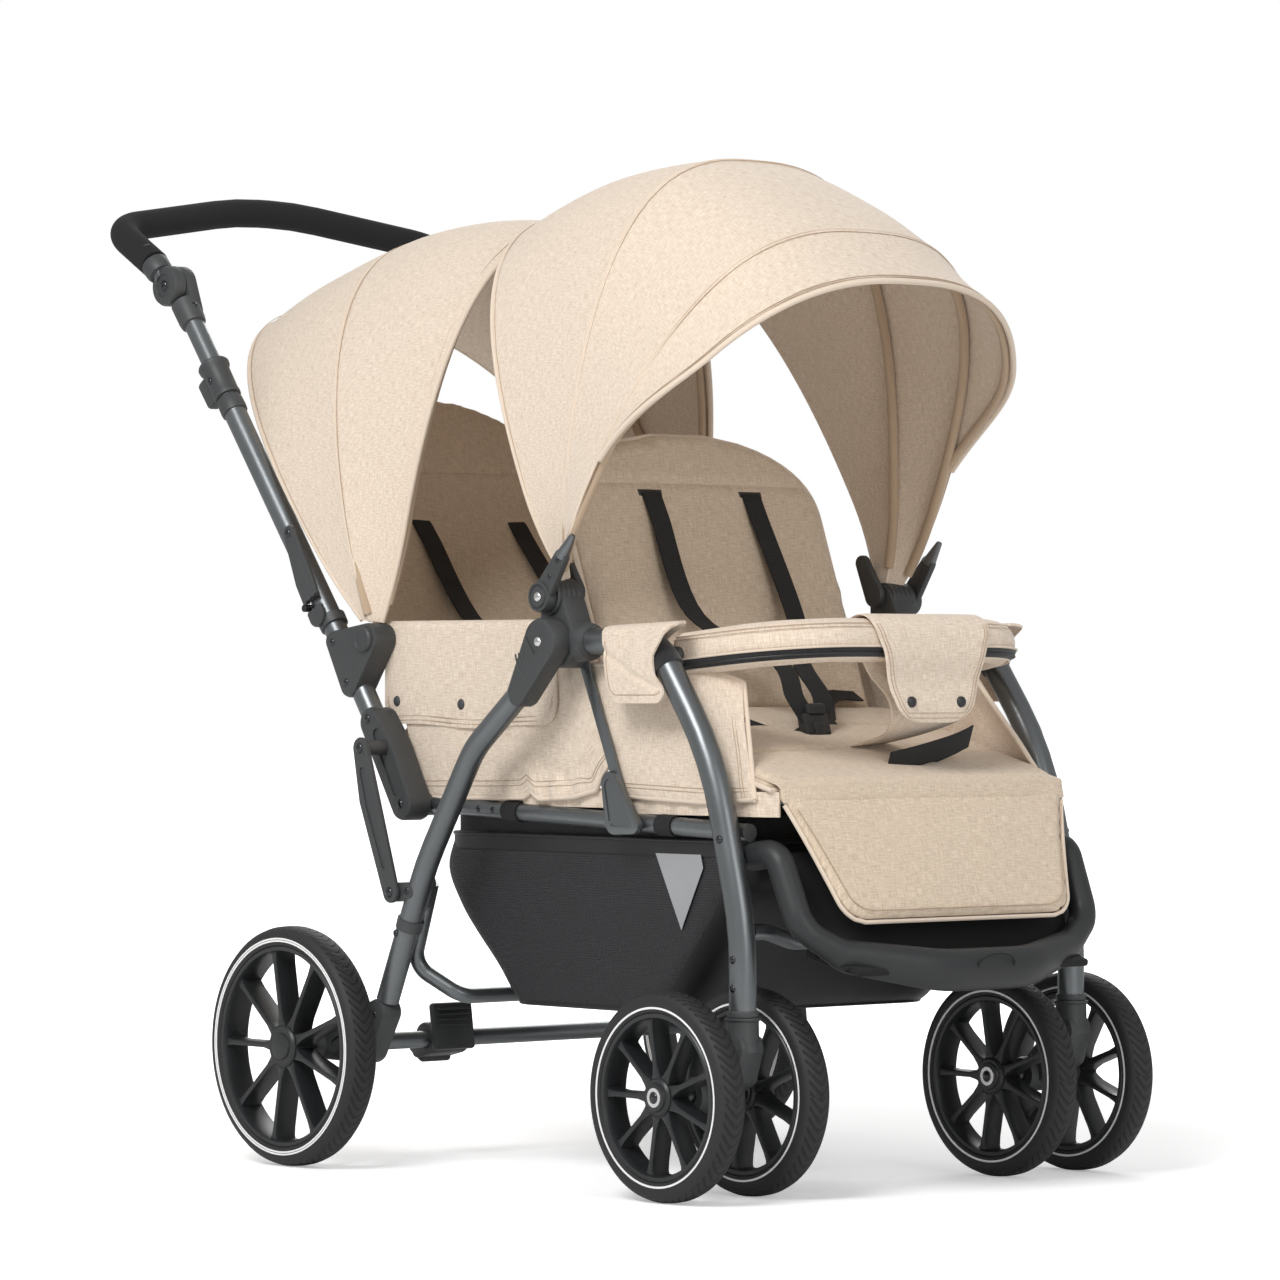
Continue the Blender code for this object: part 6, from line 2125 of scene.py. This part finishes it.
# %% Side flaps
def side_flap(side, letter):
    """The flap over the rear top edge, snapped down outside."""
    rear_y, front_y, top_z, low_z, corner = -0.043, -0.322, 0.563, 0.459, 0.022

    def lower(u):
        y = rear_y + (front_y - rear_y) * u
        near = min(abs(y - rear_y), abs(y - front_y))
        lift = corner - math.sqrt(max(0.0, corner**2 - max(0.0, corner - near) ** 2))
        return low_z + lift + 0.0020 * math.sin(u * 9)

    def place(u, v):
        y = rear_y + (front_y - rear_y) * u
        wave = 0.0013 * noise.noise(Vector((u * 7, v * 2, side)))
        if v < 0.12:
            share = v / 0.12
            return at((y, top_z - 0.012 * (1 - share)), side * (PANEL_X - 0.0145 + 0.006 * share))
        if v < 0.22:
            angle = math.pi * (v - 0.12) / 0.10
            centre = PANEL_X - 0.0045
            return at((y, top_z + 0.0042 * math.sin(angle)), side * (centre - 0.0042 * math.cos(angle)))
        share = (v - 0.22) / 0.78
        z = top_z + (lower(u) - top_z) * share
        return at((y, z), side * (PANEL_X + 0.0012 + wave * share))

    obj = woven(72, 34, place, (0.279, 0.13))
    thick(obj, 0.0022)
    flap = finished(obj, "side_flap_" + letter, "beige", "chassis", CLOTH_ANGLE)
    edges = []
    for inset in (0.004, 0.0085):
        spots = []
        for i in range(91):
            u = i / 90
            y = rear_y + (front_y - rear_y) * (0.02 + 0.96 * u)
            spots.append(at((y, lower(u) + inset), side * (PANEL_X + 0.0024)))
        edges.append(tube(spots, STITCH_RADIUS, 6))
    finished(joined(edges), "flap_stitch_" + letter, "seam", "chassis")
    snaps = [
        at((rear_y - 0.021, 0.4844), side * (PANEL_X + 0.002)),
        at((-0.170, 0.4815), side * (PANEL_X + 0.002)),
    ]
    rivets("flap_snaps_" + letter, snaps, (side, 0, 0), 0.0058, "chassis", "plastic")


both(side_flap)


# %% [markdown]
# Over the bend of each front leg lies a folded cover. Both its sides are one grid of points that
# runs up the inner side, over the tube and down the outer side.

# %% Arm covers
COVER_REAR = ((0.568, -0.4275), (0.5594, -0.4287), (0.520, -0.4335), (0.480, -0.4400))
COVER_FRONT = (
    (0.564, -0.5410),
    (0.5600, -0.5330),
    (0.551, -0.5194),
    (0.5305, -0.5060),
    (0.5128, -0.5074),
    (0.4961, -0.5190),
    (0.480, -0.5210),
)


def arm_cover(side, letter):
    """The cloth folded over the bend of the front leg, open in front round its black sleeve."""
    inner_x, outer_x = LEG_X - 0.0175, LEG_X + 0.0165

    def ridge(u):
        return 0.5600 + 0.0040 * u

    def low(u):
        lift = max(0.0, (0.16 - u) / 0.16) ** 2 * 0.016 + max(0.0, (u - 0.84) / 0.16) ** 2 * 0.007
        return 0.4840 + lift

    def place(u, v):
        wave = 0.0018 * noise.noise(Vector((u * 4, v * 3, side * 3)))
        crease = 0.0022 * math.exp(-(((v - 0.62 - 0.30 * u) / 0.035) ** 2))
        if v < 0.25:
            share = v / 0.25
            z = 0.520 + (ridge(u) - 0.010 - 0.520) * share
            across = inner_x + wave
        elif v < 0.50:
            angle = math.pi * (v - 0.25) / 0.25
            half = (outer_x - inner_x) / 2
            across = (inner_x + outer_x) / 2 - half * math.cos(angle) + wave
            z = ridge(u) - 0.010 + 0.010 * math.sin(angle) ** 0.6
        else:
            share = (v - 0.50) / 0.50
            z = ridge(u) - 0.010 + (low(u) - ridge(u) + 0.010) * share
            across = outer_x + 0.0018 * math.sin(math.pi * share) + wave - crease
        rear, front = height_on(COVER_REAR, z), height_on(COVER_FRONT, z)
        front += 0.030 * max(0.0, min(1.0, (0.46 - v) / 0.26))
        return at((rear + (front - rear) * u, z), side * across)

    obj = woven(56, 60, place, (0.128, 0.16))
    thick(obj, 0.0026)
    cover = finished(obj, "arm_cover_" + letter, "beige", "chassis", CLOTH_ANGLE)
    edge = [place(0.055, 0.54 + 0.40 * i / 20) for i in range(21)]
    edge += [place(0.055 + 0.90 * i / 40, 0.94) for i in range(1, 41)]
    spots = [spot + Vector((side * 0.0016, 0, 0)) for spot in edge]
    finished(tube(spots, STITCH_RADIUS, 6), "arm_cover_stitch_" + letter, "seam", "chassis")
    corners = [at(spot, side * LEG_X) for spot in (LEG_MID, LEG_BEND, (HUB[0] - 0.010, HUB[1]))]
    bend = [
        spot for spot in bent_path(corners, (0.065,), math.radians(3)) if -0.534 < spot.y - AXLE_Y < -0.45
    ]
    finished(tube(bend, LEG_RADIUS + 0.0020, 28), "leg_sleeve_" + letter, "black_cloth", "chassis")


both(arm_cover)


# %% [markdown]
# The bumper bar is a padded tube with a zip along its lower front edge. A flap hangs over its
# middle, snapped to the cloth that runs down to the seat.

# %% Bumper bar
BUMPER_RADIUS = 0.0228
BUMPER_PLACE = (-0.612, 0.5465)


def tube_map(obj, path, radius):
    """Cloth coordinates of a tube: metres along its path and metres round it."""
    lengths = [0.0]
    for a, b in zip(path, path[1:]):
        lengths.append(lengths[-1] + (b - a).length)
    layer = obj.data.uv_layers[0] if obj.data.uv_layers else obj.data.uv_layers.new(name="cloth")
    layer.name = "cloth"
    places = []
    for vertex in obj.data.vertices:
        near = min(range(len(path)), key=lambda i: (path[i] - vertex.co).length_squared)
        ahead = path[min(near + 1, len(path) - 1)] - path[max(near - 1, 0)]
        side = Vector((-ahead.y, ahead.x, 0)).normalized()
        offset = vertex.co - path[near]
        places.append((lengths[near], math.atan2(offset.z, offset.dot(side))))
    for face in obj.data.polygons:
        first = places[face.vertices[0]][1]
        for index in face.loop_indices:
            along, angle = places[obj.data.loops[index].vertex_index]
            angle += 2 * math.pi * round((first - angle) / (2 * math.pi))
            layer.data[index].uv = (along, angle * radius)
    return obj


def bumper_path(out=0.0, up=0.0, count=96):
    """Equal steps along the bumper's middle line, or along a line beside it."""
    y, z = BUMPER_HINGE
    front_y, front_z = BUMPER_PLACE
    corners = [
        at((y + 0.008, z + up), -0.186 - out),
        at((front_y - out, front_z + up), -0.150 - out),
        at((front_y - out, front_z + up), 0.150 + out),
        at((y + 0.008, z + up), 0.186 + out),
    ]
    path = bent_path(corners, (0.09 + out, 0.09 + out))
    spans = [(b - a).length for a, b in zip(path, path[1:])]
    step = sum(spans) / count
    spots, index, left = [path[0]], 0, step
    while len(spots) < count:
        if left <= spans[index]:
            spots.append(path[index].lerp(path[index + 1], left / spans[index]))
            left += step
        else:
            left -= spans[index]
            index += 1
    return [*spots, path[-1]]


def around_bumper(angle, reach):
    return bumper_path(reach * math.cos(math.radians(angle)), reach * math.sin(math.radians(angle)))


# %% Padded bar
def bumper():
    path = bumper_path()
    pad = tube(path, BUMPER_RADIUS - 0.001, 40)
    tube_map(pad, path, BUMPER_RADIUS)
    ends = []
    for end, before in ((path[0], path[1]), (path[-1], path[-2])):
        ends.append(dome(end, end - before, BUMPER_RADIUS - 0.0012, 0.0095, 40))
    for ball in ends:
        cloth_map(ball)
    pad = joined([pad, *ends])
    for vertex in pad.data.vertices:
        vertex.co.z += noise.noise(vertex.co * 22) * 0.0009
    finished(pad, "bumper_pad", "beige", "bumper_bar", CLOTH_ANGLE)
    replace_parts(pad, "bumper_bar")
    for side, letter in SIDES:
        inner = at(BUMPER_HINGE, side * 0.200)
        pin = rod(inner, at(BUMPER_HINGE, side * (LEG_X - LEG_RADIUS - CLEARANCE)), 0.008)
        finished(pin, "bumper_pin_" + letter, "plastic", "bumper_bar")
    reach = BUMPER_RADIUS - 0.0002
    rows = [around_bumper(angle, reach) for angle in range(-46, -17, 4)]
    band = woven(
        96, len(rows) - 1, lambda u, v: rows[round(v * (len(rows) - 1))][round(u * 96)], (0.5, 0.010)
    )
    finished(thick(band, 0.0010), "bumper_zip", "black_cloth", "bumper_bar", CLOTH_ANGLE)
    finished(tube(around_bumper(-32, reach + 0.0012), 0.0010, 8), "zip_teeth", "dark", "bumper_bar")
    seams = [tube(around_bumper(angle, reach + 0.0002), 0.0012, 8) for angle in (-15, -49)]
    finished(joined(seams), "bumper_seams", "beige", "bumper_bar")
    low_end = around_bumper(-32, reach + 0.0016)[1]
    pull = block((0.003, 0.008, 0.012), low_end + Vector((-0.002, 0, -0.004)), 0.2, 0.001)
    finished(pull, "zip_pull", "steel", "bumper_bar")
    lines = [tube(around_bumper(angle, reach), STITCH_RADIUS, 6) for angle in (36, 48)]
    finished(joined(lines), "bumper_stitch", "seam", "bumper_bar")


bumper()


FLAP_X, FLAP_WIDTH = 0.0143, 0.139
CROTCH_ROWS = (
    (-0.054, 0.100, -0.602, 0.532),
    (-0.040, 0.098, -0.602, 0.512),
    (-0.018, 0.094, -0.604, 0.490),
    (-0.014, 0.090, -0.606, 0.470),
    (-0.010, 0.082, -0.598, 0.459),
    (-0.004, 0.066, -0.580, 0.450),
    (-0.006, 0.052, -0.557, 0.444),
    (-0.014, 0.040, -0.532, 0.440),
    (-0.020, 0.032, -0.516, 0.437),
)


# %% Crotch cloth
def crotch_cloth():
    """The cloth from the bumper to the seat, narrow at its waist, and its bare webbing loop."""
    rows = eased(CROTCH_ROWS, 5)

    def place(u, v):
        left, right, y, z = rows[round(v * (len(rows) - 1))]
        bow = 0.007 * math.sin(math.pi * u) + 0.0012 * noise.noise(Vector((u * 5, v * 6, 4)))
        lift = 0.012 * u * math.sin(math.pi * min(1.0, v)) if v > 0.45 else 0.012 * u * v / 0.45
        return at((y - bow, z + lift * 0.6), left + (right - left) * u)

    obj = woven(24, len(rows) - 1, place, (0.16, 0.125))
    saddle = finished(thick(obj, 0.0030), "crotch_cloth", "beige", "bumper_bar", CLOTH_ANGLE)
    hem = tube([place(0.0, i / 60) for i in range(61)], 0.0020, 8)
    finished(hem, "crotch_piping", "beige", "bumper_bar")
    loop = ((-0.012, -0.598, 0.424), (0.020, -0.606, 0.431), (0.060, -0.612, 0.441), (0.086, -0.611, 0.449))
    loop += ((0.094, -0.604, 0.450), (0.086, -0.598, 0.444), (0.050, -0.597, 0.433), (0.008, -0.594, 0.424))
    tag = ribbon(eased([at((y, z), x) for x, y, z in loop]), 0.023, (0, -0.35, 1))
    finished(tag, "plain_webbing_loop", "webbing", "bumper_bar")


# %% [markdown]
# The flap is a strip of cloth round the bar that hangs down in front. Its widths are given by height,
# so that its lower edge comes out round.

# %% Bumper flap
FLAP_WIDTHS = (
    (0.5900, 0.161),
    (0.5640, 0.161),
    (0.5500, 0.154),
    (0.5350, 0.142),
    (0.5150, 0.131),
    (0.4950, 0.120),
    (0.4800, 0.106),
    (0.4710, 0.088),
    (0.4660, 0.066),
    (0.4630, 0.030),
)


def bumper_flap():
    cy, cz = BUMPER_PLACE
    ring = BUMPER_RADIUS + 0.0022
    over = [
        (cy + ring * math.cos(a), cz + ring * math.sin(a))
        for a in (math.radians(d) for d in range(-20, 181, 8))
    ]
    drop = [(cy - ring - 0.0016 * math.sin(i / 3.5), cz - 0.0025 * i) for i in range(1, 34)]
    path = [at(spot, FLAP_X) for spot in over + drop]
    last = len(path) - 1

    def widths(v):
        spot = path[round(v * last)]
        width = height_on(FLAP_WIDTHS, spot.z) if v * last > len(over) - 10 else FLAP_WIDTHS[0][1]
        return width / FLAP_WIDTH

    obj = ribbon(path, FLAP_WIDTH, thickness=0.0026, widths=widths)
    smooth_divided(obj)
    flap = finished(obj, "bumper_flap", "beige", "bumper_bar", CLOTH_ANGLE)
    front_y = cy - ring - 0.0034
    low = cz - 0.0825
    snaps = [at((front_y, low + 0.021), FLAP_X + shift) for shift in (-0.034, 0.034)]
    rivets("flap_snap_pair", snaps, (0, -1, 0), 0.0056, "bumper_bar", "dark")
    edges = []
    for inset in (0.005, 0.009):
        spots = []
        for index, spot in enumerate(path[len(over) - 6 :]):
            half = FLAP_WIDTH / 2 * widths((index + len(over) - 6) / last) - inset
            if spot.z > low + inset:
                spots.append(Vector((FLAP_X - half, spot.y - 0.0014, spot.z)))
        other = [Vector((2 * FLAP_X - spot.x, spot.y, spot.z)) for spot in reversed(spots)]
        edges.append(tube([*spots, *other], STITCH_RADIUS, 6))
    finished(joined(edges), "bumper_flap_stitch", "seam", "bumper_bar")
    crotch_cloth()


bumper_flap()


# %% [markdown]
# ## Basket
# The basket is a net bag hung from the rails: bound along its lip, with a plain black front and
# a pale reflective corner on each side. It sags between its seams.

# %% Basket
BASKET_ROWS = (
    (0.176, -0.200, -0.466),
    (0.186, -0.193, -0.478),
    (0.213, -0.172, -0.503),
    (0.246, -0.139, -0.530),
    (0.275, -0.1143, -0.552),
    (0.312, -0.095, -0.574),
    (0.347, -0.1080, -0.582),
)
HALF_TOP, HALF_FLOOR = RAIL_X - RAIL_RADIUS - 0.0012, 0.180
BASKET_CORNER = 0.045
PLAIN_FRONT = ((0.176, -0.446), (0.2008, -0.467), (0.3046, -0.555), (0.347, -0.591))
BASKET_PROFILE = eased(BASKET_ROWS, 6)


def basket_row(v):
    """Height, rear edge, front edge and half width of the bag at a share of its height."""
    z, rear, front = BASKET_PROFILE[round(v * (len(BASKET_PROFILE) - 1))]
    return z, rear, front, HALF_FLOOR + (HALF_TOP - HALF_FLOOR) * v**0.6


def round_basket(u, rear, front, half, corner=BASKET_CORNER):
    """A spot (x, y) of a rounded rectangle seen from above, u once round from its rear middle."""
    wide, long, arc = half - corner, (rear - front) / 2 - corner, math.pi / 2 * corner
    quarter, share = divmod(4 * min(u, 0.999999), 1.0)
    along = (share if quarter in (0, 2) else 1 - share) * (wide + arc + long)
    if along < wide:
        x, y = along, long + corner
    elif along < wide + arc:
        angle = (along - wide) / corner
        x, y = wide + corner * math.sin(angle), long + corner * math.cos(angle)
    else:
        x, y = half, long - (along - wide - arc)
    x = x if quarter < 2 else -x
    y = y if quarter in (0, 3) else -y
    return x, (rear + front) / 2 + y


def basket_wall(u, v, out=0.0):
    z, rear, front, half = basket_row(v)
    soft = 0.0022 * noise.noise(
        Vector((math.cos(2 * math.pi * u) * 2, math.sin(2 * math.pi * u) * 2, v * 2))
    )
    out += soft * math.sin(math.pi * v)
    x, y = round_basket(u, rear + out, front - out, half + out)
    return at((y, z), x)


# %% Net and bindings
def basket():
    net = woven(260, len(BASKET_PROFILE) - 1, basket_wall, (1.62, 0.20))

    def bottom(u, v):
        z, rear, front, half = basket_row(0.0)
        x, y = round_basket(u, rear, front, half)
        centre = (rear + front) / 2
        return at((centre + (y - centre) * v, z - 0.007 * (1 - v * v)), x * v)

    floor = woven(260, 14, bottom, (1, 1))
    for loop in floor.data.loops:
        spot = floor.data.vertices[loop.vertex_index].co
        floor.data.uv_layers[0].data[loop.index].uv = (spot.x, spot.y)
    obj = joined([net, floor])
    editing(obj, lambda: bpy.ops.mesh.remove_doubles(threshold=0.0002))
    editing(obj, lambda: bpy.ops.mesh.normals_make_consistent(inside=False))
    thick(obj, 0.0014)
    net = finished(obj, "basket_net", "black_mesh", "chassis", CLOTH_ANGLE)
    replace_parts(net, "basket")
    rim_row = basket_row(1.0)

    def lip(u, v):
        x, y = round_basket(u, rim_row[1] + 0.0014, rim_row[2] - 0.0014, rim_row[3] + 0.0012)
        return at((y, rim_row[0] - 0.014 + 0.015 * v), x)

    band = editing(woven(200, 3, lip, (1.62, 0.015)), lambda: bpy.ops.mesh.remove_doubles(threshold=0.0002))
    finished(thick(band, 0.0014), "basket_lip", "black_satin", "chassis", CLOTH_ANGLE)

    def hanger(u, v):
        x, y = round_basket(u, rim_row[1] - 0.003, rim_row[2] + 0.003, rim_row[3] - 0.003)
        return at((y, rim_row[0] - 0.010 + 0.036 * v), x)

    band = editing(
        woven(200, 4, hanger, (1.60, 0.036)), lambda: bpy.ops.mesh.remove_doubles(threshold=0.0002)
    )
    finished(thick(band, 0.0014), "basket_hanger", "black_cloth", "chassis", CLOTH_ANGLE)
    bead = tube([lip(i / 200, 1.0) for i in range(201)], 0.0022, 10)
    hem = tube([basket_wall(i / 200, 0.0, 0.0006) for i in range(201)], 0.0024, 10)
    finished(joined([bead, hem]), "basket_binding", "black_satin", "chassis")

    def plain(u, v):
        z, rear, front, half = basket_row(v)
        side_length = (rear - front) / 2 - BASKET_CORNER
        quarter = half - BASKET_CORNER + math.pi / 2 * BASKET_CORNER + side_length
        to_line = (rear + front) / 2 - height_on(tuple((-z0, y0) for z0, y0 in PLAIN_FRONT), -z)
        start = 0.25 + 0.25 * min(0.72, to_line / quarter)
        return basket_wall(start + (1 - 2 * start) * u, v, 0.0014)

    front = thick(woven(120, len(BASKET_PROFILE) - 1, plain, (0.55, 0.20)), 0.0010)
    finished(front, "basket_front_panel", "black_satin", "chassis", CLOTH_ANGLE)
    corners = ((-0.4542, 0.3346), (-0.5218, 0.3346), (-0.4889, 0.2592), (-0.5248, 0.3215))
    for side, letter in SIDES:

        def patch(u, v, side=side):
            top = [a + (b - a) * u for a, b in zip(corners[0], corners[1])]
            low = [a + (b - a) * u for a, b in zip(corners[2], corners[3])]
            y, z = (a + (b - a) * v for a, b in zip(low, top))
            share = (z - BASKET_ROWS[0][0]) / (BASKET_ROWS[-1][0] - BASKET_ROWS[0][0])
            half = HALF_FLOOR + (HALF_TOP - HALF_FLOOR) * share**0.6
            return at((y, z), side * (half + 0.0030))

        mark = thick(woven(12, 12, patch, (0.07, 0.07)), 0.0006)
        finished(mark, "reflective_corner_" + letter, "silver", "chassis", CLOTH_ANGLE)


basket()
